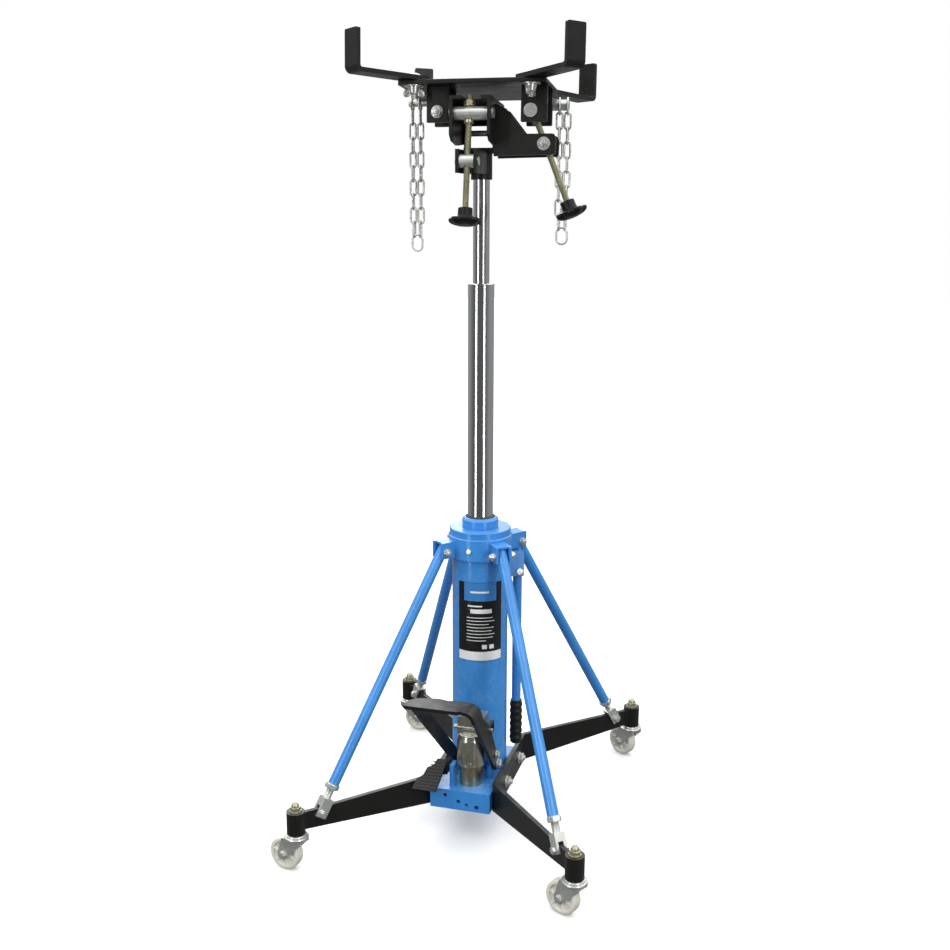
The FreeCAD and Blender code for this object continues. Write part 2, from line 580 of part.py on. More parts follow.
def lower_trunnion():
    shaft = rod("LowerTrunnionShaft", "lower_pin_radius - running_gap", "2 * (clevis_half_gap + clevis_plate) + 4",
                ("screw_side - clevis_half_gap - clevis_plate - 2", "-lower_pin_along", "lower_pin_level"), "X")
    sleeve = rod("LowerTrunnionBody", "lower_pin_radius + 4", "2 * clevis_half_gap - 1",
                 ("screw_side - clevis_half_gap + 0.5", "-lower_pin_along", "lower_pin_level"), "X")
    turn = upright_turn(front_screw_direction(), X_AXIS)
    low = Vector(size("screw_side"), -size("lower_pin_along"), size("lower_pin_level"))
    start = low.sub(turn.multVec(Vector(0, 0, 30)))
    bore = rod("LowerTrunnionBore", "screw_radius + 1.3", 60, tuple(start), turn=turn)
    solid = trim("LowerTrunnionSolid", join("LowerTrunnionStock", [shaft, sleeve]), [bore])
    keep(group("LowerTrunnion", [solid], head_placement()), "lower_trunnion")


def front_screw_ends():
    low = Vector(size("screw_side"), -size("lower_pin_along"), size("lower_pin_level"))
    high = frame_point(size("screw_side"), -size("upper_pin_along"), size("upper_pin_level"))
    return low, high


def front_screw_direction():
    low, high = front_screw_ends()
    return high.sub(low).normalize()


def tilt_frame():
    """Channel open to the front, with the right-hand gussets and the roll pivot tube."""
    parts = []
    for side in (-1, 1):
        start = "frame_half - frame_wall" if side > 0 else "-frame_half"
        wall = sheet_plate("Wall" + ("Right" if side > 0 else "Left"), "YZ_Plane",
                           (("-frame_front", "frame_bottom + 4"), ("-frame_front + 14", "frame_bottom - 6"),
                            ("-frame_front + 55", "frame_bottom - 10"), ("frame_back - 8", "frame_bottom"),
                            ("frame_back", "frame_bottom + 10"), ("frame_back", "frame_top"),
                            ("-frame_front", "frame_top")), "frame_wall", (start, 0, 0))
        parts.append(wall)
    parts.append(bar("FrameWeb", ("2 * frame_half", "frame_back + 62", "frame_wall"),
                     ("-frame_half", -62, "frame_top - frame_wall")))
    parts.append(bar("FrameLipLeft", (22, "frame_front - 62", "frame_wall"),
                     ("-frame_half", "-frame_front", "frame_top - frame_wall")))
    parts.append(bar("FrameLipRight", (18, "frame_front - 62", "frame_wall"),
                     ("frame_half - 18", "-frame_front", "frame_top - frame_wall")))
    parts.append(bar("FrameBack", ("2 * frame_half", "frame_wall", 38),
                     ("-frame_half", "frame_back - frame_wall", "frame_top - 38")))
    for tag, start in (("Front", "-gusset_front"), ("Back", "-gusset_back - gusset_plate")):
        gusset = sheet_plate("Gusset" + tag, "XZ_Plane",
                             (("frame_half - 2", "nut_level - 21"), (150, "nut_level - 19"), (151, "nut_level + 9"),
                              (147, "nut_level + 18"), (94, "nut_level + 18"), (58, "roll_level + 5"),
                              ("frame_half - 2", "roll_level + 15")), "gusset_plate",
                             rounds=((5, lambda c, t: c.x > 140 and abs(t.y) > 0.9),))
        centre_plate(gusset, size(start))
        parts.append(gusset)
    parts.append(rod("RollTube", 14, "lug_front - lug_back - lug_plate - 1",
                     ("-roll_pivot_side", "-lug_front + lug_plate + 0.5", "roll_level"), "Y"))
    parts.append(bar("RollWeb", ("roll_pivot_side - frame_half + 2", 46, 12),
                     ("-roll_pivot_side", "-lug_front + lug_plate + 4", "roll_level - 6")))
    bores = [rod("FramePivotBore", "pivot_radius + running_gap", 100, (-50, 0, "pivot_level"), "X"),
             rod("FrameTrunnionBore", "upper_pin_radius - 2", 100, (-50, "-upper_pin_along", "upper_pin_level"), "X"),
             rod("RollTubeBore", 6.05, 100, ("-roll_pivot_side", -90, "roll_level"), "Y"),
             rod("GussetBore", 9, 80, ("nut_side", -75, "nut_level"), "Y")]
    solid = trim("TiltFrameSolid", join("TiltFrameStock", parts), bores)
    keep(group("TiltFrame", [solid], frame_placement()), "tilt_frame")


def front_trunnion():
    journal = "upper_pin_radius - 2 - running_gap"
    barrel = rod("UpperTrunnionBody", "upper_pin_radius", "2 * (frame_half - frame_wall) - 1",
                 ("-frame_half + frame_wall + 0.5", "-upper_pin_along", "upper_pin_level"), "X")
    shaft = rod("UpperTrunnionShaft", journal, "2 * frame_half + 6", ("-frame_half - 3", "-upper_pin_along", "upper_pin_level"), "X")
    low, high = front_screw_ends()
    centre = Vector(size("screw_side"), -size("upper_pin_along"), size("upper_pin_level"))
    tip = FreeCAD.Rotation(X_AXIS, -size("frame_pitch"))
    direction = tip.multVec(high.sub(low)).normalize()
    turn = upright_turn(direction, X_AXIS)
    bore = rod("UpperTrunnionBore", "screw_radius + running_gap", 60,
               tuple(centre.sub(Vector(direction).multiply(30))), turn=turn)
    solid = trim("FrontTrunnionSolid", join("FrontTrunnionStock", [barrel, shaft]), [bore])
    keep(group("FrontTrunnion", [solid], frame_placement()), "front_trunnion")


def screw_and_knob(tag, low, high, above, drop, placement, trunnion, labels):
    """Threaded rod with its collars either side of the upper trunnion and a lobed hand knob."""
    direction = high.sub(low).normalize()
    turn = upright_turn(direction, Y_AXIS)
    reach = size(trunnion)
    knob_at = low.sub(Vector(direction).multiply(drop))
    length = high.sub(knob_at).Length + above

    def spot(lift):
        return tuple(high.add(Vector(direction).multiply(lift)))

    shank = rod(tag + "Shank", "screw_radius", length, tuple(knob_at), turn=turn)
    collar = rod(tag + "Collar", 9, 6, spot(-reach - 6.6), turn=turn)
    nut = hexagon(tag + "Nut", 18, 10, spot(reach + 0.6), turn=turn)
    screw = join(tag + "ScrewSolid", [shank, collar, nut])
    keep(group(tag + "Screw", [screw], placement), labels[0])

    lobes = [rod(tag + "KnobHub", 14, 24, tuple(knob_at.add(Vector(direction).multiply(-2))), turn=turn)]
    lobes.append(taper(tag + "KnobPlate", "knob_radius - 12", "knob_radius - 7", 10,
                       tuple(knob_at.sub(Vector(direction).multiply(14))), turn))
    for step in range(7):
        around = math.radians(step * 360 / 7)
        offset = turn.multVec(Vector(math.cos(around), math.sin(around), 0).multiply(size("knob_radius") - 8))
        lobes.append(rod("%sLobe%d" % (tag, step), 8, 11,
                         tuple(knob_at.add(offset).sub(Vector(direction).multiply(12))), turn=turn))
    lobes.append(rod(tag + "KnobCore", 17, 12, tuple(knob_at.sub(Vector(direction).multiply(13))), turn=turn))
    socket = rod(tag + "KnobSocket", "screw_radius", 60, tuple(knob_at), turn=turn)
    knob = trim(tag + "KnobSolid", join(tag + "KnobStock", lobes), [socket])
    keep(group(tag + "Knob", [knob], placement), labels[1])


# ---------------------------------------------------------------- saddle
def saddle_plate():
    half, deep = "saddle_half_width", "saddle_half_depth"
    plate = sheet_plate("SaddleTop", "XY_Plane",
                        (("-%s" % half, "-%s + 12" % deep), ("-%s + 12" % half, "-%s" % deep),
                         ("%s - 12" % half, "-%s" % deep), (half, "-%s + 12" % deep),
                         (half, "%s - 12" % deep), ("%s - 12" % half, deep),
                         ("-%s + 12" % half, deep), ("-%s" % half, "%s - 12" % deep)),
                        "saddle_plate_thickness", (0, 0, "saddle_bottom"))
    parts = [plate]
    for tag, start in (("Front", "-lug_front"), ("Back", "-lug_back")):
        parts.append(bar("LeftLug" + tag, (40, "lug_plate", "saddle_bottom - roll_level + 19"),
                         ("-roll_pivot_side - 20", start, "roll_level - 19")))
        parts.append(bar("RightLug" + tag, (48, "lug_plate", "saddle_bottom - roll_level + 20"),
                         ("roll_pin_side - 18", start, "roll_level - 20")))
    parts.append(bar("PegPlateRight", (6, 34, "saddle_bottom - peg_right_level + 12"), (121, "peg_along - 17", "peg_right_level - 12")))
    parts.append(bar("PegPlateLeft", (6, 26, "saddle_bottom - peg_left_level + 9"), (-103, "peg_along - 13", "peg_left_level - 9")))
    bores = [rod("SaddleRollBore", 6.05, 90, ("-roll_pivot_side", -90, "roll_level"), "Y"),
             rod("SaddlePinBore", "roll_pin_radius - 3", 90, ("roll_pin_side", -90, "roll_level"), "Y")]
    for sx in (-1, 1):
        for sy in (-1, 1):
            bores.append(rod("ArmBore%s%s" % ("LR"[sx > 0], "FB"[sy > 0]), 6, 30,
                             ("%d * arm_bolt_across" % sx, "%d * arm_bolt_along" % sy, "saddle_bottom - 5")))
    solid = trim("SaddleSolid", join("SaddleStock", parts), bores)
    keep(group("SaddlePlate", [solid], frame_placement()), "saddle_plate")

    right = rod("PegRight", 10, 34, (127, "peg_along", "peg_right_level"), "X")
    left = rod("PegLeft", 7, 47, (-150, "peg_along", "peg_left_level"), "X")
    shank = rod("RollBoltShank", 6, "lug_front - lug_back + lug_plate + 8",
                ("-roll_pivot_side", "-lug_front - 4", "roll_level"), "Y")
    washer = rod("RollBoltWasher", 11, 2, ("-roll_pivot_side", "-lug_front - 2", "roll_level"), "Y")
    head = hexagon("RollBoltHead", 17, 6, ("-roll_pivot_side", "-lug_front - 8", "roll_level"), "Y")
    tail = hexagon("RollBoltNut", 17, 6, ("-roll_pivot_side", "-lug_back + lug_plate", "roll_level"), "Y")
    keep(group("ChainPegs", [right, left, join("RollBolt", [shank, washer, head, tail])], frame_placement()), "chain_pegs")


def arm_bolts():
    bolts = []
    wings = []
    top = "saddle_bottom + saddle_plate_thickness + arm_plate"
    for sx in (-1, 1):
        for sy in (-1, 1):
            tag = "LR"[sx > 0] + "FB"[sy > 0]
            at = ("%d * arm_bolt_across" % sx, "%d * arm_bolt_along" % sy)
            shank = rod("ArmShank" + tag, "screw_radius", 50, at + (top + " + 2 - 50",))
            head = taper("ArmHead" + tag, 12, 6, 5, at + (top + " + 0.5",))
            bolts.append(join("ArmBolt" + tag, [shank, head]))
            washer = rod("WingWasher" + tag, 18, 2.5, at + ("saddle_bottom - 2.5",))
            hub = taper("WingHub" + tag, 8, 10.5, 12, at + ("saddle_bottom - 14.5",))
            parts = [washer, hub]
            for side in (-1, 1):
                tilt = FreeCAD.Rotation(Y_AXIS, side * 152)
                start = Vector(sx * size("arm_bolt_across"), sy * size("arm_bolt_along") - 2, size("saddle_bottom") - 8)
                corner = start.add(tilt.multVec(Vector(-5, 0, 4)))
                parts.append(bar("Wing%s%s" % (tag, "ab"[side > 0]), (10, 4, 18), tuple(corner), tilt))
            bore = rod("WingBore" + tag, "screw_radius", 40, at + ("saddle_bottom - 35",))
            wings.append(trim("WingNut" + tag, join("WingStock" + tag, parts), [bore]))
    keep(group("ArmBolts", bolts, frame_placement()), "arm_bolts")
    keep(group("WingNuts", wings, frame_placement()), "wing_nuts")


ARM_DIRECTIONS = {"front_left": 231.5, "front_right": 312.5, "back_right": 61, "back_left": 117}


def arm(corner, sx, sy):
    """L-shaped support arm: flat strip on its bolt, bent up at the outer end."""
    tag = corner.title().replace("_", "")
    level = size("saddle_bottom + saddle_plate_thickness")
    profile = sheet_plate(tag + "ArmStrip", "XZ_Plane",
                          ((-22, 0), ("arm_reach", 0), ("arm_reach", "arm_height"),
                           ("arm_reach - arm_plate", "arm_height"), ("arm_reach - arm_plate", "arm_plate"),
                           (-22, "arm_plate")), "arm_width",
                          rounds=(("arm_plate + 4", lambda c, t: abs(t.y) > 0.9 and c.x > size("arm_reach") - 1 and c.z < 1),
                                  (4, lambda c, t: abs(t.y) > 0.9 and abs(c.x - size("arm_reach - arm_plate")) < 0.5
                                   and abs(c.z - size("arm_plate")) < 0.5),
                                  (3, lambda c, t: abs(t.x) > 0.9 and c.z > size("arm_height") - 0.1)))
    centre_plate(profile)
    bore = rod(tag + "ArmBore", "screw_radius + running_gap", 30, (0, 0, -10))
    solid = trim(tag + "ArmSolid", profile, [bore])
    here = FreeCAD.Placement(Vector(sx * size("arm_bolt_across"), sy * size("arm_bolt_along"), level + 0.1),
                             FreeCAD.Rotation(Z_AXIS, ARM_DIRECTIONS[corner]))
    keep(group(tag + "Arm", [solid], frame_placement().multiply(here)), "arm_" + corner)


def roll_linkage():
    journal = "roll_pin_radius - 3 - running_gap"
    barrel = rod("RollTrunnionBody", "roll_pin_radius", "lug_front - lug_back - lug_plate - 1",
                 ("roll_pin_side", "-lug_front + lug_plate + 0.5", "roll_level"), "Y")
    shaft = rod("RollTrunnionShaft", journal, "lug_front - lug_back + lug_plate + 1",
                ("roll_pin_side", "-lug_front - 0.5", "roll_level"), "Y")
    face = rod("RollTrunnionFace", "roll_pin_radius", 2.5, ("roll_pin_side", "-lug_front - 2.8", "roll_level"), "Y")
    low = Vector(size("nut_side"), -size("roll_screw_along"), size("nut_level"))
    high = Vector(size("roll_pin_side"), -size("roll_screw_along"), size("roll_level"))
    direction = high.sub(low).normalize()
    turn = upright_turn(direction, Y_AXIS)
    bore = rod("RollTrunnionBore", "screw_radius + running_gap", 60,
               tuple(high.sub(Vector(direction).multiply(30))), turn=turn)
    solid = trim("RollTrunnionSolid", join("RollTrunnionStock", [barrel, shaft, face]), [bore])
    keep(group("RollTrunnion", [solid], frame_placement()), "roll_trunnion")
    nut = rod("RollNutBody", 13, "gusset_front - gusset_back - 2 * gusset_plate - 1",
              ("nut_side", "-gusset_front + gusset_plate + 0.5", "nut_level"), "Y")
    pin = rod("RollNutShaft", "9 - running_gap", "gusset_front - gusset_back + 1",
              ("nut_side", "-gusset_front - 0.5", "nut_level"), "Y")
    front = rod("RollNutFace", 12, 2.5, ("nut_side", "-gusset_front - 2.8", "nut_level"), "Y")
    hole = rod("RollNutBore", "screw_radius + 2.4", 60, tuple(low.sub(Vector(direction).multiply(30))), turn=turn)
    solid = trim("RollNutSolid", join("RollNutStock", [nut, pin, front]), [hole])
    keep(group("RollNut", [solid], frame_placement()), "roll_nut")
    screw_and_knob("Roll", low, high, 14, 125, frame_placement(), "roll_pin_radius",
                   ("roll_screw", "roll_knob"))


def chain_link(name, centre, flat, half_width="chain_half_width", straight=None):
    """One oval link standing upright; flat links lie across X, the others across Y."""
    straight = size(straight or "chain_pitch - 2 * (%s) + 2 * chain_wire" % half_width)
    turn = FreeCAD.Rotation() if flat else FreeCAD.Rotation(Z_AXIS, 90)
    parts = []
    for side in (-1, 1):
        offset = turn.multVec(Vector(side * size(half_width), 0, -straight / 2))
        parts.append(rod("%sSide%s" % (name, "ab"[side > 0]), "chain_wire", straight, tuple(centre.add(offset))))
        bow = doc.addObject("Part::Torus", "%sBow%s" % (name, "ab"[side > 0]))
        bind(bow, Radius1=half_width, Radius2="chain_wire")
        bow.Angle3 = 180
        lie = FreeCAD.Rotation(X_AXIS, 90 * side)
        put(bow, tuple(centre.add(Vector(0, 0, side * straight / 2))), turn.multiply(lie))
        parts.append(bow)
    return join(name, parts)


def chain(tag, peg, peg_radius, links, label):
    """Two strands side by side, each on a loop round the peg, meeting in a wide end link."""
    spacing = size("chain_pitch") - 0.4
    loop = "%s + 0.6 + chain_wire" % peg_radius
    loop_centre = Vector(0, 0, -size("chain_loop_straight / 2"))
    first = size("%s + chain_loop_straight + chain_pitch / 2 - chain_wire - 0.2" % loop)
    solids = []
    for side in (-1, 1):
        strand = peg.add(Vector(side * 7.7, 0, 0))
        letter = "ab"[side > 0]
        solids.append(chain_link("%sLoop%s" % (tag, letter), strand.add(loop_centre), False, loop, "chain_loop_straight"))
        for step in range(links):
            inset = 1.5 if step == links - 1 else 0
            centre = strand.add(Vector(-side * inset, 0, -first - step * spacing))
            solids.append(chain_link("%sLink%s%02d" % (tag, letter, step), centre, (links - step) % 2 == 0))
    bottom = peg.add(Vector(0, 0, -first - links * spacing))
    solids.append(chain_link(tag + "EndLink", bottom, True, "chain_half_width + 4.7"))
    keep(group(tag + "Chain", solids, head_placement()), label)


# ---------------------------------------------------------------- pedals, pump and handle
def pump():
    centre = ("pump_across", "-pump_along")
    keep(rod("PumpBarrel", "barrel_radius", "barrel_top - block_top", centre + ("block_top",)), "pump_barrel")
    hole = "barrel_radius + running_gap"
    sleeve = turned("PumpSleeve", ((hole, "sleeve_bottom"), ("sleeve_radius + 0.6", "sleeve_bottom"),
                                   ("sleeve_radius + 0.6", "sleeve_bottom + 4"), ("sleeve_radius", "sleeve_bottom + 5"),
                                   ("sleeve_radius", "sleeve_top - 14"), ("sleeve_radius - 3", "sleeve_top"),
                                   (0, "sleeve_top"),
                                   (0, "sleeve_top - 7"), (hole, "sleeve_top - 7")), centre + (0,))
    block = bar("PumpHeadBlock", ("2 * pump_head_half", 40, "pump_head_top - sleeve_top"),
                ("pump_across - pump_head_half + 3", "-pump_along - 16", "sleeve_top"))
    pin = rod("PumpHeadPin", "head_pin_radius", "pump_head_half + pedal_half_gap + pedal_plate + 8",
              ("pump_across - pump_head_half - 4", "-pump_along - 12", "head_pin_level"), "X")
    weep = rod("SleeveHole", 2.5, 12, ("pump_across + 6", "-pump_along - sleeve_radius - 6", "sleeve_bottom + 10"), "Y")
    keep(join("PumpPlunger", [trim("PumpPlungerCut", join("PumpPlungerStock", [sleeve, block]), [weep]), pin]),
         "pump_plunger")
    lugs = []
    for side in (-1, 1):
        start = "pump_across + 29" if side > 0 else "pump_across - 37"
        lugs.append(bar("PumpLug" + "ab"[side > 0], (8, 34, "pedal_pivot_level - block_top"),
                        (start, "-pedal_pivot_along - 17", "block_top")))
        lugs.append(rod("PumpLugTop" + "ab"[side > 0], 13, 8, (start, "-pedal_pivot_along", "pedal_pivot_level"), "X"))
        lugs.append(rod("PumpLugPin" + "ab"[side > 0], 5, 22,
                        ("%s" % start if side > 0 else "%s - 14" % start, "-pedal_pivot_along", "pedal_pivot_level"), "X"))
    valve = bar("ReleaseLug", (8, 24, "release_level - block_top + 6"),
                ("-release_across + 5", "-release_along - 12", "block_top"))
    stud = rod("ReleaseStud", 4, 22, ("-release_across - 9", "-release_along", "release_level"), "X")
    clear = rod("LugClear", "cylinder_radius", 200, (0, 0, 100))
    keep(group("PumpLugs", [trim("PumpLugsRight", join("PumpLugsR", lugs[3:]), [clear]),
                            trim("PumpLugsLeft", join("PumpLugsL", lugs[:3]), [clear]),
                            join("ReleaseLugSolid", [valve, stud])]), "pump_lugs")


def pump_pedal():
    """Bent foot plate on a straight right arm, slotted for the plunger pin, and a skewed left arm."""
    right = "pump_across + pedal_half_gap"
    outer = "pump_across + pedal_half_gap + pedal_plate"
    bend = "16 + pedal_plate"
    across_arm = "pedal_arm_half"
    parts = [sheet_plate("PedalArm", "YZ_Plane",
                         (("-pedal_pivot_along + %s" % across_arm, "pedal_pivot_level + 4"),
                          ("-pedal_pivot_along + 4", "pedal_pivot_level - 12"), ("-pedal_pivot_along - 8", "pedal_pivot_level - 12"),
                          ("-foot_front + 14", "foot_level - 30"), ("-foot_front", "foot_level - 14"),
                          ("-foot_back", "foot_level - 14"), ("-foot_back + 8", "foot_level - 30"),
                          ("-pump_along - 20", "head_pin_level + 12"), ("-pump_along + 14", "head_pin_level + 11"),
                          ("-pump_along + 14", "head_pin_level - 11"), ("-pump_along - 2", "head_pin_level - 13")),
                         "pedal_plate", (right, 0, 0))]
    depth = "foot_front - foot_back"
    curve = rod("PedalCurve", bend, depth, ("%s - (%s)" % (outer, bend), "-foot_front", "foot_level + 3 - (%s)" % bend), "Y")
    hollow = rod("PedalHollow", "16", 400, ("%s - (%s)" % (outer, bend), -400, "foot_level + 3 - (%s)" % bend), "Y")
    left_of = bar("PedalLeftOf", (200, 400, 200), ("%s - (%s) - 200" % (outer, bend), -400, "foot_level - 150"))
    below = bar("PedalBelow", (200, 400, 100), (-50, -400, "foot_level + 3 - (%s) - 100" % bend))
    parts.append(trim("PedalBend", curve, [hollow, left_of, below]))
    plate = sheet_plate("FootPlate", "XY_Plane",
                        ((-92, "-foot_front + 4"), (-88, "-foot_front"), (18, "-foot_front"), (24, "-foot_front + 5"),
                         ("%s - (%s)" % (outer, bend), "-foot_front"), ("%s - (%s)" % (outer, bend), "-foot_back"),
                         (8, "-foot_back + 3"), (-12, "-foot_back - 2"), (-34, "-foot_back + 3"), (-56, "-foot_back - 2"),
                         (-72, "-foot_back - 6"), (-88, "-foot_back - 20")),
                        "pedal_plate", (0, 0, "foot_level + 3 - pedal_plate"))
    parts.append(plate)
    low = Vector(size("pump_across - pedal_half_gap - pedal_plate / 2"), -size("pedal_pivot_along"), size("pedal_pivot_level"))
    high = Vector(-74, -207, size("foot_level"))
    rise = high.sub(low)
    turn = upright_turn(rise, X_AXIS)
    start = low.add(turn.multVec(Vector(-size("pedal_plate / 2"), -size("pedal_arm_half"), 4)))
    parts.append(bar("PedalLeftArm", ("pedal_plate", "2 * pedal_arm_half", rise.Length - 6), tuple(start), turn))
    parts.append(rod("PedalLeftBoss", 12, "pedal_plate", ("pump_across - pedal_half_gap - pedal_plate",
                                                          "-pedal_pivot_along", "pedal_pivot_level"), "X"))
    tools = [bar("PinSlot", (40, 17, "2 * (head_pin_radius + 0.6)"),
                 ("%s - 10" % right, "-pump_along - 12", "head_pin_level - head_pin_radius - 0.6"))]
    for end in (0, 17):
        tools.append(rod("PinSlotEnd%d" % end, "head_pin_radius + 0.6", 40,
                         ("%s - 10" % right, "-pump_along - 12 + %d" % end, "head_pin_level"), "X"))
    tools.append(rod("PedalPivotBore", "5 + running_gap", 200, (-90, "-pedal_pivot_along", "pedal_pivot_level"), "X"))
    tools.append(bar("PedalTopTrim", (400, 400, 60), (-200, -400, "foot_level + 3")))
    keep(trim("PumpPedal", join("PumpPedalStock", parts), tools), "pump_pedal")


def release_pedal():
    tread = sheet_plate("ReleaseTread", "XY_Plane",
                        ((-50, 0), (0, 0), (8, 40), (12, 66), (-8, 66), (-14, 52), (-26, 46), (-32, 30), (-44, 20)), 6)
    tread.Placement = FreeCAD.Placement(Vector(-42, -172, 116), FreeCAD.Rotation(X_AXIS, 52))
    lever = bar("ReleaseLever", (12, 32, 24), ("-release_across - 10", "-release_along - 20", "release_level - 12"))
    bore = rod("ReleaseBore", "4 + running_gap", 60, ("-release_across - 30", "-release_along", "release_level"), "X")
    keep(trim("ReleasePedal", join("ReleasePedalStock", [tread, lever]), [bore]), "release_pedal")


def handle():
    middle, axis = handle_pin_line()
    turn = FreeCAD.Rotation(Z_AXIS, axis)
    at = ("handle_across", "handle_along")
    tube = rod("HandleTube", "handle_radius", "handle_level + 14 - handle_bottom + 60", at + ("handle_bottom - 60",))
    bore_at = middle.sub(Vector(axis).multiply(30))
    bore = rod("HandleBore", "4 + running_gap", 60, tuple(bore_at), turn=turn)
    keep(trim("HandleBar", tube, [bore]), "handle_bar")
    profile = [(0, "grip_bottom"), ("grip_radius - 2", "grip_bottom")]
    for step in range(6):
        low = 6 + step * 15
        profile.append(("grip_radius", "grip_bottom + %d" % low))
        profile.append(("grip_radius", "grip_bottom + %d" % (low + 8)))
        if step < 5:
            profile.append(("grip_radius - 1.6", "grip_bottom + %d" % (low + 11)))
    profile += [("grip_radius - 1", "handle_bottom + 3"), ("handle_radius", "handle_bottom + 3"),
                ("handle_radius", "handle_bottom - 60"), (0, "handle_bottom - 60")]
    keep(turned("HandleGrip", profile, at + (0,)), "handle_grip")
    pin = rod("HandlePinShank", 4, 38, tuple(middle.sub(Vector(axis).multiply(19))), turn=turn)
    ends = []
    for side in (-1, 1):
        face = middle.add(Vector(axis).multiply(side * 15.5))
        ends.append(hexagon("HandlePinHex" + "ab"[side > 0], 13, 5, tuple(face),
                            turn=FreeCAD.Rotation(Z_AXIS, Vector(axis).multiply(side))))
    keep(join("HandlePin", [pin] + ends), "handle_pin")


base_block()
leg_bar(1, "leg_bar_right")
leg_bar(-1, "leg_bar_left")
sockets()
leg_bolts()
for corner, (sx, sy, trail) in CORNERS.items():
    caster(corner, sx, sy, trail)
column()
struts()
label_panel()
rams()
head()
lower_trunnion()
tilt_frame()
front_trunnion()
screw_low, screw_high = front_screw_ends()
screw_and_knob("Front", screw_low, screw_high, 32, 104, head_placement(), "upper_pin_radius",
               ("front_screw", "front_knob"))
saddle_plate()
arm_bolts()
for corner, (sx, sy, trail) in CORNERS.items():
    arm(corner, sx, sy)
roll_linkage()
chain("Left", frame_point(-136, size("peg_along"), size("peg_left_level")), 7, 9, "chain_left")
chain("Right", frame_point(151, size("peg_along"), size("peg_right_level")), 10, 8, "chain_right")
pump()
pump_pedal()
release_pedal()
handle()

doc.recompute()
for item in doc.Objects:
    if "Invalid" in item.State or "Error" in item.State:
        raise RuntimeError("%s did not build: %s" % (item.Name, item.State))
for item in nodes:
    shape = item.Shape
    if shape.isNull() or not shape.isValid():
        raise RuntimeError("%s has no valid shape" % item.Label)
    shape.exportStep("parts/%s.step" % item.Label)
    box = shape.BoundBox
    print("%-26s solids %2d  x %.1f..%.1f  y %.1f..%.1f  z %.1f..%.1f" % (
        item.Label, len(shape.Solids), box.XMin, box.XMax, box.YMin, box.YMax, box.ZMin, box.ZMax))
print("pieces", len(nodes))
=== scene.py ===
"""Looks of the two-stage transmission jack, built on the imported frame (metres, +Z up)."""
import json
import math

import bmesh
import bpy
from mathutils import Matrix, Vector
from mathutils import noise as field


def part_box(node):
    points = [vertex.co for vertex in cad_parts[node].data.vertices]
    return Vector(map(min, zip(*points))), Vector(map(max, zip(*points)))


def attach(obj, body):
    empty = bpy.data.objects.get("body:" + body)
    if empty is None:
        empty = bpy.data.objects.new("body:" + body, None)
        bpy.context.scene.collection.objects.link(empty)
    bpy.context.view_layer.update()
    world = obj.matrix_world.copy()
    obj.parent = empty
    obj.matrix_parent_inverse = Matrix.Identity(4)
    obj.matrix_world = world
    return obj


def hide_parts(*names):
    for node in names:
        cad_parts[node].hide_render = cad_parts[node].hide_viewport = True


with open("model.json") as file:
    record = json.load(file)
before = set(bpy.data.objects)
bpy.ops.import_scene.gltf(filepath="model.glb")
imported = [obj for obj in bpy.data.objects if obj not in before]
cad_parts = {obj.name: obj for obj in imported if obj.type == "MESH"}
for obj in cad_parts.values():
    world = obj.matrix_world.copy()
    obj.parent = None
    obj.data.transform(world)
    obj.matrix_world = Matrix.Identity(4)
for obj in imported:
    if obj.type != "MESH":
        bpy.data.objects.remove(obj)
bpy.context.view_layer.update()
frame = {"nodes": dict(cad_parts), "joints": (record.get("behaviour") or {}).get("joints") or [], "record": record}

SCENE = bpy.context.scene
MM = 0.001
NODES = frame["nodes"]
JOINTS = {joint["name"]: joint for joint in frame["joints"]}
CORNERS = ("front_left", "front_right", "back_right", "back_left")
UP = Vector((0, 0, 1))
SEAM_GAP = 0.02 * MM


def pivot(name):
    """Place of a joint in metres."""
    return Vector(JOINTS[name]["pos_m"])


def axle(name):
    """Unit direction of a joint's axis."""
    return Vector(JOINTS[name]["axis"]).normalized()


def add_object(name, data):
    """New scene object that holds a mesh, light or camera."""
    item = bpy.data.objects.new(name, data)
    SCENE.collection.objects.link(item)
    return item


# --- wiring shared by world and materials
def smooth_range(tree, value, low, high, start=0.0, end=1.0):
    """Smooth remap of a value from low..high to start..end."""
    node = tree.nodes.new("ShaderNodeMapRange")
    node.interpolation_type = "SMOOTHSTEP"
    for name, number in (("From Min", low), ("From Max", high), ("To Min", start), ("To Max", end)):
        node.inputs[name].default_value = number
    tree.links.new(value, node.inputs["Value"])
    return node.outputs["Result"]


def combine(tree, operation, first, second):
    """Math node on two values; each is a number or another node's value."""
    node = tree.nodes.new("ShaderNodeMath")
    node.operation = operation
    for index, value in enumerate((first, second)):
        if isinstance(value, (int, float)):
            node.inputs[index].default_value = value
        else:
            tree.links.new(value, node.inputs[index])
    return node.outputs[0]


# --- camera, lights and floor
CAMERA_PLACE = (0.6242, -2.2252, 1.2633)
CAMERA_TURN = (math.radians(77.12), 0.0, math.radians(16.60))
LENS_LENGTH = 44.5
LENS_SHIFT = 0.0138

# name, place, aim, width and height in metres, power in watts
SOFTBOXES = (
    ("ceiling", (0, 8.0, 6.5), (0, 8.0, 0), 34.0, 26.0, 2150),
    ("strip_left", (-1.5, -2.9, 1.25), (0, 0, 0.95), 0.50, 3.4, 40),
    ("strip_right", (2.25, -2.2, 1.25), (0, 0, 0.95), 0.45, 3.4, 36),
    ("back", (-1.6, 3.2, 2.2), (0, 0, 0.9), 1.6, 1.6, 26),
)
FRONT_WALL = 0.11
ROOM = 0.33
SKY = 1.05
GROUND = 0.8
ROOM_TINT = (0.98, 1.0, 1.0, 1)
BACKDROP = (1.0, 1.0, 1.0, 1)

FLOOR_REACH = 14.0
FLOOR_FRONT = 3.4


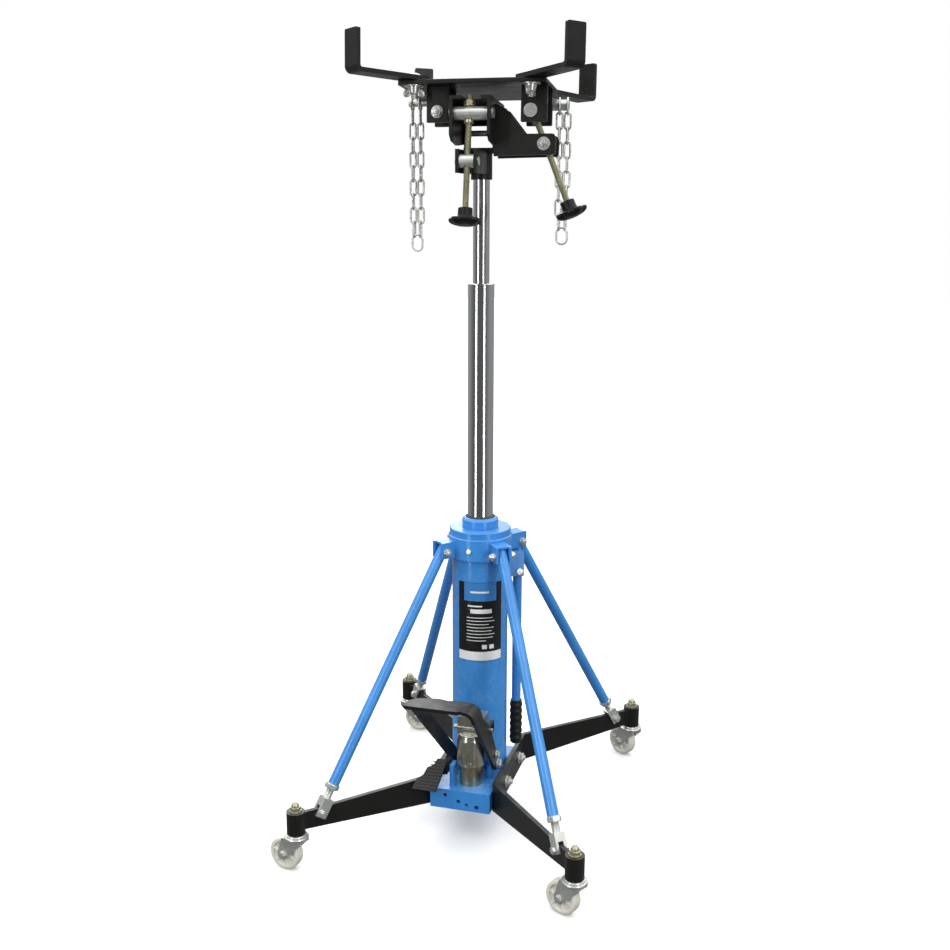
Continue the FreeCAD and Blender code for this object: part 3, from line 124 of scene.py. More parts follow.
def camera():
    """Camera at the right front, a little above the pump, looking slightly down."""
    data = bpy.data.cameras.new("studio_camera")
    data.lens = LENS_LENGTH
    data.shift_x = LENS_SHIFT
    data.clip_end = 60.0
    eye = add_object("studio_camera", data)
    eye.location = CAMERA_PLACE
    eye.rotation_euler = CAMERA_TURN
    SCENE.camera = eye


def softbox(name, place, target, width, height, power):
    """Rectangular light aimed at a point and hidden from the camera."""
    data = bpy.data.lights.new(name, "AREA")
    data.shape = "RECTANGLE"
    data.size = width
    data.size_y = height
    data.energy = power
    lamp = add_object(name, data)
    lamp.location = place
    aim = Vector(target) - Vector(place)
    lamp.rotation_euler = aim.to_track_quat("-Z", "Y").to_euler()
    lamp.visible_camera = False


def surroundings(tree):
    """Pale room all round with a dim wall in front, so bare metal keeps dark streaks."""
    way = tree.nodes.new("ShaderNodeTexCoord").outputs["Generated"]
    split = tree.nodes.new("ShaderNodeSeparateXYZ")
    tree.links.new(way, split.inputs[0])
    walls = smooth_range(tree, split.outputs["Y"], -0.75, 0.25, FRONT_WALL, ROOM)
    sky = smooth_range(tree, split.outputs["Z"], 0.10, 0.6, 0.0, SKY)
    ground = smooth_range(tree, split.outputs["Z"], -0.55, 0.0, GROUND, 1.0)
    return combine(tree, "MULTIPLY", combine(tree, "MAXIMUM", walls, sky), ground)


def studio():
    """Broad ceiling light, two tall strips either side of the camera and a soft back light."""
    for row in SOFTBOXES:
        softbox(*row)
    world = bpy.data.worlds.new("studio_world")
    world.use_nodes = True
    tree = world.node_tree
    around = tree.nodes["Background"]
    around.inputs["Color"].default_value = ROOM_TINT
    tree.links.new(surroundings(tree), around.inputs["Strength"])
    backdrop = tree.nodes.new("ShaderNodeBackground")
    backdrop.inputs["Color"].default_value = BACKDROP
    path = tree.nodes.new("ShaderNodeLightPath")
    choice = tree.nodes.new("ShaderNodeMixShader")
    tree.links.new(path.outputs["Is Camera Ray"], choice.inputs[0])
    tree.links.new(around.outputs[0], choice.inputs[1])
    tree.links.new(backdrop.outputs[0], choice.inputs[2])
    tree.links.new(choice.outputs[0], tree.nodes["World Output"].inputs["Surface"])
    SCENE.world = world
    SCENE.view_settings.view_transform = "Standard"
    SCENE.view_settings.look = "None"


def floor(material):
    """Wide pale floor that lights and reflections pass through."""
    mesh = bpy.data.meshes.new("studio_floor")
    front_edge = [(-FLOOR_REACH, -FLOOR_FRONT, 0), (FLOOR_REACH, -FLOOR_FRONT, 0)]
    back_edge = [(FLOOR_REACH, FLOOR_REACH, 0), (-FLOOR_REACH, FLOOR_REACH, 0)]
    mesh.from_pydata(front_edge + back_edge, [], [(0, 1, 2, 3)])
    mesh.materials.append(material)
    plane = add_object("studio_floor", mesh)
    plane.visible_glossy = False
    plane.visible_diffuse = False


# --- material building blocks
class Graph:
    """Wires procedural nodes into one Principled material."""

    def __init__(self, name, metallic=0.0):
        self.material = bpy.data.materials.new(name)
        self.material.use_nodes = True
        self.tree = self.material.node_tree
        self.shader = self.tree.nodes["Principled BSDF"]
        self.shader.inputs["Metallic"].default_value = metallic
        self.place = self.add("ShaderNodeTexCoord").outputs["Object"]

    def add(self, kind):
        return self.tree.nodes.new(kind)

    def link(self, source, target):
        self.tree.links.new(source, target)

    def stretched(self, scale, turn=(0, 0, 0)):
        """Object coordinates scaled differently along each axis."""
        mapping = self.add("ShaderNodeMapping")
        mapping.inputs["Scale"].default_value = scale
        mapping.inputs["Rotation"].default_value = turn
        self.link(self.place, mapping.inputs["Vector"])
        return mapping.outputs["Vector"]

    def noise(self, scale, detail=4.0, roughness=0.55, vector=None, distortion=0.0):
        """Fractal noise over object coordinates, or over another vector."""
        node = self.add("ShaderNodeTexNoise")
        node.inputs["Scale"].default_value = scale
        node.inputs["Detail"].default_value = detail
        node.inputs["Roughness"].default_value = roughness
        node.inputs["Distortion"].default_value = distortion
        self.link(vector or self.place, node.inputs["Vector"])
        return node.outputs["Fac"]

    def cells(self, scale):
        node = self.add("ShaderNodeTexVoronoi")
        node.inputs["Scale"].default_value = scale
        self.link(self.place, node.inputs["Vector"])
        return node.outputs["Color"]

    def band(self, value, low, high, start=0.0, end=1.0):
        return smooth_range(self.tree, value, low, high, start, end)

    def times(self, first, second, operation="MULTIPLY"):
        return combine(self.tree, operation, first, second)

    def blend(self, factor, first, second):
        """Mix of two colours; each is a colour tuple or another node's colour."""
        node = self.add("ShaderNodeMix")
        node.data_type = "RGBA"
        self.link(factor, node.inputs["Factor"])
        for socket, value in (("A", first), ("B", second)):
            target = [s for s in node.inputs if s.name == socket and s.type == "RGBA"][0]
            if isinstance(value, tuple):
                target.default_value = value + (1.0,)
            else:
                self.link(value, target)
        return [s for s in node.outputs if s.type == "RGBA"][0]

    def component(self, axis, vector=None):
        split = self.add("ShaderNodeSeparateXYZ")
        self.link(vector or self.place, split.inputs[0])
        return split.outputs[axis]

    def facing_up(self):
        """1 on faces that look straight up, 0 on upright ones."""
        return self.component("Z", self.add("ShaderNodeNewGeometry").outputs["Normal"])

    def edges(self, low=0.52, high=0.6):
        """1 on convex edges, 0 on flats and hollows."""
        return self.band(self.add("ShaderNodeNewGeometry").outputs["Pointiness"], low, high)

    def bump(self, height, strength, distance, under=None):
        node = self.add("ShaderNodeBump")
        node.inputs["Strength"].default_value = strength
        node.inputs["Distance"].default_value = distance
        self.link(height, node.inputs["Height"])
        if under:
            self.link(under, node.inputs["Normal"])
        return node.outputs["Normal"]

    def finish(self, colour, roughness, normal):
        self.link(colour, self.shader.inputs["Base Color"])
        self.link(roughness, self.shader.inputs["Roughness"])
        self.link(normal, self.shader.inputs["Normal"])
        return self.material


def shade(colour, factor):
    return tuple(min(1.0, channel * factor) for channel in colour)


# --- materials
DUST = (0.52, 0.51, 0.48)
CLEAN_CHROME = (0.72, 0.72, 0.74)
FILMED_CHROME = (0.58, 0.57, 0.56)
BRIGHT_BRASS = (0.62, 0.54, 0.33)
DULL_BRASS = (0.34, 0.29, 0.17)
OILY_BRASS = (0.16, 0.14, 0.09)


def paint(name, colour, gloss, bare, peel=0.25, coat=0.25, shine=0.5):
    """Enamel or powder coat: orange peel, soft mottling, dust on top faces, worn edges and scratches."""
    graph = Graph(name)
    graph.shader.inputs["Coat Weight"].default_value = coat
    graph.shader.inputs["Specular IOR Level"].default_value = shine
    graph.shader.inputs["Coat Roughness"].default_value = 0.18
    mottled = graph.blend(graph.band(graph.noise(9.0, 5), 0.3, 0.7), shade(colour, 0.9), shade(colour, 1.08))
    cloud = graph.band(graph.noise(55.0, 6, 0.7), 0.42, 0.72, 0.0, 0.35)
    clouds = graph.blend(cloud, mottled, shade(colour, 0.78))
    patches = graph.band(graph.noise(38.0, 8, 0.7), 0.4, 0.75, 0.02, 0.16)
    dust = graph.times(graph.band(graph.facing_up(), 0.75, 1.0), patches)
    dusty = graph.blend(dust, clouds, DUST)
    scratch_field = graph.noise(6.0, 3, 0.5, graph.stretched((90, 7, 9), (0.6, 0.35, 0.2)), 0.6)
    scratched_areas = graph.band(graph.noise(12.0, 2), 0.5, 0.62, 0.0, 0.55)
    scratches = graph.times(graph.band(scratch_field, 0.735, 0.765), scratched_areas)
    scratched = graph.blend(scratches, dusty, shade(bare, 0.9))
    wear = graph.times(graph.edges(0.58, 0.68), graph.band(graph.noise(70.0, 6, 0.75), 0.5, 0.66, 0.0, 0.6))
    worn = graph.blend(wear, scratched, bare)
    satin = graph.band(graph.noise(30.0, 6, 0.65), 0.3, 0.75, gloss * 0.85, gloss * 1.25)
    rough = graph.times(satin, graph.times(dust, 0.8), "ADD")
    skin = graph.bump(graph.noise(620.0, 2, 0.4), peel, 0.00012)
    chips = graph.bump(graph.times(wear, -1.0), 0.35, 0.00015, skin)
    return graph.finish(worn, rough, chips)


def plated(name, colour, tint, roughness, spangle=0.05, dirt=0.25, metallic=0.7):
    """Zinc-plated steel: faint crystal spangle, passivate tint, fine drawn lines and grime."""
    graph = Graph(name, metallic=metallic)
    crystals = graph.band(graph.component("X", graph.cells(420.0)), 0.0, 1.0, 0.0, spangle * 2)
    base = graph.blend(crystals, colour, shade(colour, 0.78))
    tinted = graph.blend(graph.band(graph.noise(30.0, 4, 0.55), 0.35, 0.7, 0.0, 0.8), base, tint)
    grime = graph.blend(graph.band(graph.noise(70.0, 7, 0.7), 0.55, 0.8, 0.0, dirt), tinted, shade(tint, 0.45))
    rough = graph.band(graph.noise(55.0, 5, 0.65), 0.3, 0.75, roughness * 0.85, roughness * 1.25)
    lines = graph.bump(graph.noise(160.0, 3, 0.6, graph.stretched((1, 1, 9))), 0.08, 0.00006)
    return graph.finish(grime, rough, lines)


def chrome():
    """Ground hard chrome: near mirror, round-ground lines and a faint vertical oil film."""
    graph = Graph("ram_chrome", metallic=1.0)
    film = graph.band(graph.noise(30.0, 5, 0.6, graph.stretched((3.2, 3.2, 0.16))), 0.42, 0.72, 0.0, 0.5)
    tone = graph.blend(film, CLEAN_CHROME, FILMED_CHROME)
    rings = graph.noise(240.0, 3, 0.7, graph.stretched((0.25, 0.25, 8)))
    rough = graph.times(graph.band(rings, 0.3, 0.75, 0.07, 0.15), graph.times(film, 0.08), "ADD")
    return graph.finish(tone, rough, graph.bump(rings, 0.07, 0.00003))


def brass():
    """Turned brass: tarnish clouds, oily patches and round tool marks."""
    graph = Graph("barrel_brass", metallic=1.0)
    tarnish = graph.band(graph.noise(26.0, 7, 0.7), 0.38, 0.68, 0.0, 0.8)
    tone = graph.blend(tarnish, BRIGHT_BRASS, DULL_BRASS)
    oily = graph.blend(graph.band(graph.noise(90.0, 6, 0.7), 0.55, 0.75, 0.0, 0.5), tone, OILY_BRASS)
    turned = graph.noise(300.0, 2, 0.6, graph.stretched((0.3, 0.3, 6)))
    rough = graph.band(turned, 0.3, 0.7, 0.24, 0.42)
    return graph.finish(oily, rough, graph.bump(turned, 0.2, 0.00008))


def moulded(name, colour, roughness, grain, dirt, dirt_amount, shine=0.5):
    """Moulded plastic or rubber: fine grain, a painted sheen on rubbed convex edges and ground-in dirt."""
    graph = Graph(name)
    graph.shader.inputs["Specular IOR Level"].default_value = shine
    mottled = graph.blend(graph.band(graph.noise(22.0, 5), 0.32, 0.7), shade(colour, 0.93), shade(colour, 1.06))
    dirty = graph.blend(graph.band(graph.noise(64.0, 8, 0.75), 0.5, 0.76, 0.0, dirt_amount), mottled, dirt)
    # painted sheen: on convex edges the base colour is painted up to half again lighter, standing in for a
    # highlight where hands rub
    rubbed = graph.blend(graph.times(graph.edges(), 0.35), dirty, shade(colour, 1.5))
    rough = graph.band(graph.noise(48.0, 5, 0.7), 0.3, 0.75, roughness * 0.8, roughness * 1.2)
    fine = graph.bump(graph.noise(grain, 3, 0.6), 0.22, 0.0001)
    return graph.finish(rubbed, rough, fine)


def printed(name, colour, roughness):
    """Satin vinyl print with slight fading and rubbed spots."""
    graph = Graph(name)
    graph.shader.inputs["Specular IOR Level"].default_value = 0.3
    faded = graph.blend(graph.band(graph.noise(30.0, 5), 0.35, 0.7, 0.0, 0.4), colour, shade(colour, 1.25))
    rubbed = graph.blend(graph.band(graph.noise(160.0, 6, 0.7), 0.6, 0.78, 0.0, 0.22), faded, (0.4, 0.4, 0.39))
    rough = graph.band(graph.noise(55.0, 4), 0.3, 0.7, roughness * 0.85, roughness * 1.25)
    return graph.finish(rubbed, rough, graph.bump(graph.noise(500.0, 2), 0.06, 0.00005))


def weld_metal(name, colour):
    """Painted weld bead: the coat follows the ripples and is a little duller than the plate."""
    graph = Graph(name)
    ripple = graph.band(graph.noise(180.0, 6, 0.7), 0.35, 0.7)
    tone = graph.blend(ripple, shade(colour, 0.75), shade(colour, 1.1))
    rough = graph.band(graph.noise(90.0, 4), 0.3, 0.7, 0.34, 0.55)
    return graph.finish(tone, rough, graph.bump(graph.noise(420.0, 4, 0.7), 0.4, 0.0003))


def studio_paper():
    """Matt pale paper with a faint unevenness."""
    graph = Graph("studio_paper")
    tone = graph.blend(graph.band(graph.noise(1.2, 3), 0.3, 0.7), (0.93, 0.93, 0.93), (0.95, 0.95, 0.95))
    rough = graph.band(graph.noise(4.0, 3), 0.3, 0.7, 0.75, 0.9)
    return graph.finish(tone, rough, graph.bump(graph.noise(90.0, 2), 0.05, 0.0004))


BLUE = (0.046, 0.262, 0.680)
BLACK = (0.0105, 0.0103, 0.0092)
STEEL_UNDER_BLUE = (0.30, 0.31, 0.32)
STEEL_UNDER_BLACK = (0.08, 0.08, 0.078)
MATERIALS = {
    "blue_paint": paint("blue_paint", BLUE, 0.27, STEEL_UNDER_BLUE),
    "black_paint": paint("black_paint", BLACK, 0.36, STEEL_UNDER_BLACK, peel=0.4, coat=0.03, shine=0.3),
    "zinc": plated("zinc", (0.70, 0.71, 0.67), (0.58, 0.60, 0.57), 0.27),
    "gold_zinc": plated("gold_zinc", (0.46, 0.43, 0.29), (0.36, 0.36, 0.24), 0.30),
    "ram_chrome": chrome(),
    "barrel_brass": brass(),
    "seal_rubber": moulded("seal_rubber", (0.022, 0.022, 0.022), roughness=0.55, grain=900.0,
                           dirt=(0.10, 0.09, 0.08), dirt_amount=0.4),
    "grip_rubber": moulded("grip_rubber", (0.012, 0.012, 0.012), roughness=0.5, grain=700.0,
                           dirt=(0.06, 0.058, 0.055), dirt_amount=0.35, shine=0.3),
    "knob_plastic": moulded("knob_plastic", (0.006, 0.006, 0.006), roughness=0.36, grain=800.0,
                            dirt=(0.035, 0.035, 0.033), dirt_amount=0.25, shine=0.22),
    "nylon": moulded("nylon", (0.78, 0.76, 0.67), roughness=0.36, grain=500.0,
                     dirt=(0.42, 0.38, 0.30), dirt_amount=0.3),
    "label": printed("label", (0.012, 0.012, 0.013), 0.26),
}
PUMP_STEEL = plated("pump_steel", (0.60, 0.60, 0.54), (0.40, 0.37, 0.28), 0.24, spangle=0.03, dirt=0.5,
                    metallic=0.85)
LABEL_WHITE = printed("label_white", (0.78, 0.78, 0.77), 0.3)
LABEL_BLUE = printed("label_blue", (0.045, 0.21, 0.53), 0.3)
WELDS = {
    "blue_paint": weld_metal("weld_blue", BLUE),
    "black_paint": weld_metal("weld_black", BLACK),
}


# --- CAD nodes: edges and finishes
SHARP_ANGLE = math.radians(38)
BEVEL_ANGLE = math.radians(35)
USUAL_EDGE = 0.4


def smoothing_group():
    """Node group that shades smooth and keeps edges steeper than its angle sharp."""
    group = bpy.data.node_groups.new("shade_by_angle", "GeometryNodeTree")
    group.interface.new_socket("Geometry", in_out="INPUT", socket_type="NodeSocketGeometry")
    group.interface.new_socket("Geometry", in_out="OUTPUT", socket_type="NodeSocketGeometry")
    nodes, links = group.nodes, group.links
    start = nodes.new("NodeGroupInput")
    end = nodes.new("NodeGroupOutput")
    faces = nodes.new("GeometryNodeSetShadeSmooth")
    faces.domain = "FACE"
    edges = nodes.new("GeometryNodeSetShadeSmooth")
    edges.domain = "EDGE"
    angle = nodes.new("GeometryNodeInputMeshEdgeAngle")
    compare = nodes.new("FunctionNodeCompare")
    compare.operation = "LESS_THAN"
    compare.inputs[1].default_value = SHARP_ANGLE
    links.new(start.outputs[0], faces.inputs["Geometry"])
    links.new(faces.outputs[0], edges.inputs["Geometry"])
    links.new(angle.outputs["Unsigned Angle"], compare.inputs[0])
    links.new(compare.outputs[0], edges.inputs["Shade Smooth"])
    links.new(edges.outputs[0], end.inputs[0])
    return group


SMOOTHING = smoothing_group()


def soften(item, width):
    """Welds the mesh's seams, rounds its sharp edges a little and evens the shading."""
    weld = item.modifiers.new("merge", "WELD")
    weld.merge_threshold = SEAM_GAP
    if width:
        edge = item.modifiers.new("edge", "BEVEL")
        edge.width = width
        edge.segments = 2
        edge.limit_method = "ANGLE"
        edge.angle_limit = BEVEL_ANGLE
        edge.use_clamp_overlap = True
    shading = item.modifiers.new("shading", "NODES")
    shading.node_group = SMOOTHING
    even = item.modifiers.new("even", "WEIGHTED_NORMAL")
    even.keep_sharp = True


# edge rounding in mm, where it differs from the usual one
EDGE_WIDTHS = {
    "base_block": 1.6, "leg_bar_left": 0.9, "leg_bar_right": 0.9, "tilt_frame": 0.8, "head_socket": 0.8,
    "saddle_plate": 1.2, "pump_pedal": 0.9, "pump_lugs": 0.8, "strut_collar": 0.7, "caster_sockets": 1.2,
    "release_pedal": 0.8, "pump_plunger": 0.7, "gland_nut": 0.7, "outer_cylinder": 0.0,
}


def finish_cad_nodes():
    """Gives each CAD node the material of its slot and softens its edges."""
    slots = {row["node"]: row["material_slot"] for row in frame["record"]["subparts"]}
    for name, item in NODES.items():
        item.data.materials.clear()
        item.data.materials.append(PUMP_STEEL if name == "pump_plunger" else MATERIALS[slots[name]])
        soften(item, EDGE_WIDTHS.get(name, USUAL_EDGE) * MM)


# --- mesh building blocks
class Shape:
    """One mesh built from rings of points; every point is in the object's frame, in metres."""

    def __init__(self, place=None):
        self.mesh = bmesh.new()
        self.place = place or Matrix.Identity(4)

    def rings(self, rings, closed=True, around=False, caps=(True, True)):
        """Skins a list of equally long rings; around joins the last ring to the first."""
        rows = [[self.mesh.verts.new(self.place @ Vector(point)) for point in ring] for ring in rings]
        count = len(rows[0])
        last = len(rows) if around else len(rows) - 1
        for index in range(last):
            low, high = rows[index], rows[(index + 1) % len(rows)]
            for step in range(count if closed else count - 1):
                following = (step + 1) % count
                self.mesh.faces.new((low[step], low[following], high[following], high[step]))
        if not around and closed:
            if caps[0]:
                self.mesh.faces.new(rows[0][::-1])
            if caps[1]:
                self.mesh.faces.new(rows[-1])

    def lathe(self, profile, segments=48, radius_at=None, caps=(True, True)):
        """Sweeps (radius, level) pairs round local Z; radius_at(radius, level, angle) can shape each ring."""
        rings = []
        for radius, level in profile:
            ring = []
            for step in range(segments):
                angle = 2 * math.pi * step / segments
                reach = radius_at(radius, level, angle) if radius_at else radius
                ring.append((reach * math.cos(angle), reach * math.sin(angle), level))
            rings.append(ring)
        self.rings(rings, caps=caps)

    def tube(self, path, radius, segments=12, closed=False, radius_at=None):
        """Round section swept along a list of points without twisting."""
        points = [Vector(point) for point in path]
        count = len(points)
        tangents = []
        for index in range(count):
            before = points[index - 1] if index or closed else points[0]
            after = points[(index + 1) % count] if index + 1 < count or closed else points[-1]
            tangents.append((after - before).normalized())
        side = tangents[0].orthogonal().normalized()
        rings = []
        for index, (point, tangent) in enumerate(zip(points, tangents)):
            side = (side - tangent * side.dot(tangent)).normalized()
            other = tangent.cross(side)
            reach = radius_at(index, count) if radius_at else radius
            rings.append([point + (side * math.cos(a) + other * math.sin(a)) * reach
                          for a in (2 * math.pi * step / segments for step in range(segments))])
        self.rings(rings, around=closed)

    def plate(self, points, low, high):
        """Prism over a polygon in local XY."""
        self.rings([[(x, y, low) for x, y in points], [(x, y, high) for x, y in points]])

    def piece(self, name, slot, body, replaces=(), material=None):
        """Turns the mesh into a scene object that rides on a body; its slot names the usual material."""
        bmesh.ops.recalc_face_normals(self.mesh, faces=self.mesh.faces)
        data = bpy.data.meshes.new(name)
        self.mesh.to_mesh(data)
        self.mesh.free()
        data.materials.append(material or MATERIALS[slot])
        item = add_object(name, data)
        soften(item, 0.0)
        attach(item, body)
        if replaces:
            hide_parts(*replaces)


def local(origin, direction, flat=None):
    """Matrix with local Z along a direction and local X near to flat, based at a point."""
    lift = Vector(direction).normalized()
    guide = Vector(flat) if flat else lift.orthogonal()
    side = (guide - lift * guide.dot(lift)).normalized()
    turn = Matrix((side, lift.cross(side), lift)).transposed().to_4x4()
    return Matrix.Translation(Vector(origin)) @ turn


def rounded_profile(radius, low, high, edge, inner=0.0, steps=3):
    """(radius, level) pairs of a disc or ring with rounded rims."""
    points = [(inner, low)]
    for step in range(steps + 1):
        angle = math.pi / 2 * step / steps
        points.append((radius - edge + edge * math.sin(angle), low + edge - edge * math.cos(angle)))
    for step in range(steps + 1):
        angle = math.pi / 2 * step / steps
        points.append((radius - edge + edge * math.cos(angle), high - edge + edge * math.sin(angle)))
    points.append((inner, high))
    return points


def hex_radius(across, low, high):
    """Radius rule of a chamfered hexagon: flats cut by a cone near its ends."""
    sector = math.pi / 3
    end_radius = across * 0.485
    chamfer_slope = 1.7

    def rule(radius, level, angle):
        offset = (angle + sector / 2) % sector - sector / 2
        flat = across / 2 / math.cos(offset)
        flat = min(flat, end_radius + (level - low) * chamfer_slope)
        flat = min(flat, end_radius + (high - level) * chamfer_slope)
        return min(radius, flat) if radius < across * 0.48 else flat
    return rule


def hexagon(shape, across, low, high):
    """Chamfered hex nut or head between two levels."""
    rim = across * 0.055
    hole = across * 0.3
    levels = [low, low + rim * 0.5, low + rim, high - rim, high - rim * 0.5, high]
    profile = [(hole, low)] + [(across, level) for level in levels] + [(hole, high)]
    shape.lathe(profile, 72, hex_radius(across, low, high))


# thread of the tilt screws and arm bolts
THREAD_RADIUS = 6.0 * MM
THREAD_PITCH = 1.75 * MM
THREAD_DEPTH = 0.9 * MM


def thread(shape, radius, low, high, pitch, depth, segments=24):
    """Single-start V thread as a wavy surface between two levels, with tapered ends."""
    rows_per_turn = 6
    count = max(8, int((high - low) / pitch * rows_per_turn))
    rings = []
    for row in range(count + 1):
        level = low + (high - low) * row / count
        fade = min(1.0, min(level - low, high - level) / pitch)
        ring = []
        for step in range(segments):
            turn = step / segments
            phase = (level / pitch - turn) % 1.0
            groove = abs(phase * 2 - 1)
            reach = radius - depth * (1 - groove * fade)
            ring.append((reach * math.cos(2 * math.pi * turn), reach * math.sin(2 * math.pi * turn), level))
        rings.append(ring)
    shape.rings(rings)


def weld_bead(name, path, radius, body, slot):
    """Lumpy half-sunk bead laid along a path."""
    points = [Vector(point) for point in path]
    dense = []
    spacing = 0.9 * MM
    for first, second in zip(points, points[1:]):
        steps = max(1, int((second - first).length / spacing))
        dense += [first.lerp(second, step / steps) for step in range(steps)]
    dense.append(points[-1])

    def ripple(index, count):
        end = min(1.0, 0.35 + min(index, count - 1 - index) / 3)
        wave = 1 + 0.13 * math.sin(index * 1.9) + 0.12 * field.noise(dense[index] * 180)
        return radius * wave * end

    shape = Shape()
    shape.tube(dense, radius, 8, radius_at=ripple)
    shape.piece(name, slot, body, material=WELDS[slot])


def ring_path(radius, level, last=360):
    """Points of a level circle round the origin, from 0 to the last angle in degrees."""
    turns = [math.radians(angle) for angle in range(0, last + 1, 6)]
    return [(radius * math.cos(turn), radius * math.sin(turn), level) for turn in turns]


def plain_ring(shape, radius, level, wire, segments):
    """Closed wire ring round local Z; its path stops one step short of its start."""
    shape.tube(ring_path(radius, level, last=354), wire, segments, closed=True)


def in_mm(rows):
    """Rows given in millimetres, turned into metres."""
    return [tuple(value * MM for value in row) for row in rows]


def islands(name):
    """Corners (low, high) of each separate solid of a CAD node."""
    mesh = bmesh.new()
    mesh.from_mesh(NODES[name].data)
    bmesh.ops.remove_doubles(mesh, verts=mesh.verts, dist=SEAM_GAP)
    waiting = set(mesh.verts)
    found = []
    while waiting:
        stack = [waiting.pop()]
        points = []
        while stack:
            vert = stack.pop()
            points.append(vert.co.copy())
            for edge in vert.link_edges:
                other = edge.other_vert(vert)
                if other in waiting:
                    waiting.remove(other)
                    stack.append(other)
        low = Vector([min(p[i] for p in points) for i in range(3)])
        high = Vector([max(p[i] for p in points) for i in range(3)])
        found.append((low, high))
    mesh.free()
    return sorted(found, key=lambda pair: tuple(round(c, 4) for c in pair[0]))


# --- base details
def cap_nuts():
    """Acorn nuts on washers on top of the caster sockets."""
    washer_radius, washer_top = 12 * MM, 2.5 * MM
    across, hex_top = 19 * MM, 10 * MM
    dome_radius, dome_foot, dome_level = 7.8 * MM, 9.5 * MM, 10.5 * MM
    dome_steps = 9
    shape = Shape()
    for low, high in islands("socket_cap_nuts"):
        centre = (low + high) / 2
        shape.place = Matrix.Translation((centre.x, centre.y, low.z))
        shape.lathe(rounded_profile(washer_radius, 0, washer_top, 0.6 * MM))
        hexagon(shape, across, washer_top, hex_top)
        top = high.z - low.z
        rise = top - dome_level
        dome = [(dome_radius, dome_foot)]
        for step in range(1, dome_steps):
            angle = math.pi / 2 * step / dome_steps
            dome.append((dome_radius * math.cos(angle), dome_level + rise * math.sin(angle)))
        dome.append((0.4 * MM, top))
        shape.lathe(dome, 36)
    shape.piece("socket_acorn_nuts", "gold_zinc", "chassis", ("socket_cap_nuts",))


# radius and offset from the wheel's middle in mm, from the bore out to the tread
WHEEL_PROFILE = (
    (4.05, -11), (9, -11), (10.6, -10.6), (11.2, -9.4), (11.8, -7.6), (13.2, -7.2), (22.6, -7.2), (24, -7.6),
    (24.8, -9.4), (25.4, -10.6), (26.6, -11), (29.6, -11), (31.6, -10.3), (32.6, -8.6), (33, -5.6), (33, 0),
)


def wheels():
    """Nylon wheels with a rounded tread, dished faces, a raised hub and moulded ribs."""
    rib_start, rib_end, rib_half = 10.8 * MM, 25.2 * MM, 1.1 * MM
    rib_foot, rib_face = 6.5 * MM, 10.4 * MM
    rib_outline = [(rib_start, -rib_half), (rib_end, -rib_half), (rib_end, rib_half), (rib_start, rib_half)]
    for corner in CORNERS:
        joint = "wheel_%s_spin" % corner
        place = local(pivot(joint), axle(joint), UP)
        shape = Shape(place)
        rows = in_mm(WHEEL_PROFILE)
        rows += [(radius, -offset) for radius, offset in rows[-2::-1]]
        shape.lathe(rows, 64, caps=(False, False))
        for side in (-1, 1):
            low, high = sorted((side * rib_foot, side * rib_face))
            for step in range(6):
                shape.place = place @ Matrix.Rotation(math.radians(60 * step + 15), 4, "Z")
                shape.plate(rib_outline, low, high)
        shape.piece("nylon_wheel_" + corner, "nylon", "wheel_" + corner, ("caster_wheel_" + corner,))


def axle_hardware():
    """Chamfered nuts and washers over the caster axles."""
    washer_radius, washer_low, washer_high = 7.4 * MM, 15.0 * MM, 16.0 * MM
    across, nut_low, nut_high = 13.2 * MM, 15.6 * MM, 19.8 * MM
    for corner in CORNERS:
        joint = "wheel_%s_spin" % corner
        shape = Shape()
        for side in (-1, 1):
            shape.place = local(pivot(joint), axle(joint) * side, UP)
            shape.lathe(rounded_profile(washer_radius, washer_low, washer_high, 0.3 * MM))
            hexagon(shape, across, nut_low, nut_high)
        shape.piece("axle_nuts_" + corner, "zinc", "fork_" + corner)


# ring radius, level and wire radius in mm
RACE_RIMS = ((22.2, 73.2, 2.3), (18.4, 77.2, 1.9))


def race_rims():
    """Pressed rims of the swivel races under each socket."""
    for corner in CORNERS:
        centre = pivot("caster_%s_swivel" % corner)
        shape = Shape(Matrix.Translation((centre.x, centre.y, 0)))
        for radius, level, wire in in_mm(RACE_RIMS):
            plain_ring(shape, radius, level, wire, 8)
        shape.piece("race_rims_" + corner, "zinc", "fork_" + corner)


def hex_on(shape, centre, direction, across, depth, washer, dome=0.0):
    """Washer, chamfered hex and optional stud end standing on a face."""
    washer_height, hex_foot = 2.4 * MM, 2.2 * MM
    shape.place = local(centre, direction, UP)
    shape.lathe(rounded_profile(washer, 0, washer_height, 0.5 * MM))
    face = hex_foot + depth
    hexagon(shape, across, hex_foot, face)
    if dome:
        shape.lathe([(dome, face - 0.5 * MM), (dome, face + 2.6 * MM), (dome * 0.86, face + 3.4 * MM),
                     (dome * 0.3, face + 3.7 * MM)], 28)


def side_bolts():
    """Hex bolts that hold the leg bars to the base block."""
    shape = Shape()
    for low, high in islands("leg_bolts"):
        centre = (low + high) / 2
        side = 1 if centre.x > 0 else -1
        face = low.x if side > 0 else high.x
        hex_on(shape, (face, centre.y, centre.z), (side, 0, 0), across=18 * MM, depth=8 * MM, washer=12.5 * MM,
               dome=5.5 * MM)
    shape.piece("leg_side_bolts", "zinc", "chassis", ("leg_bolts",))


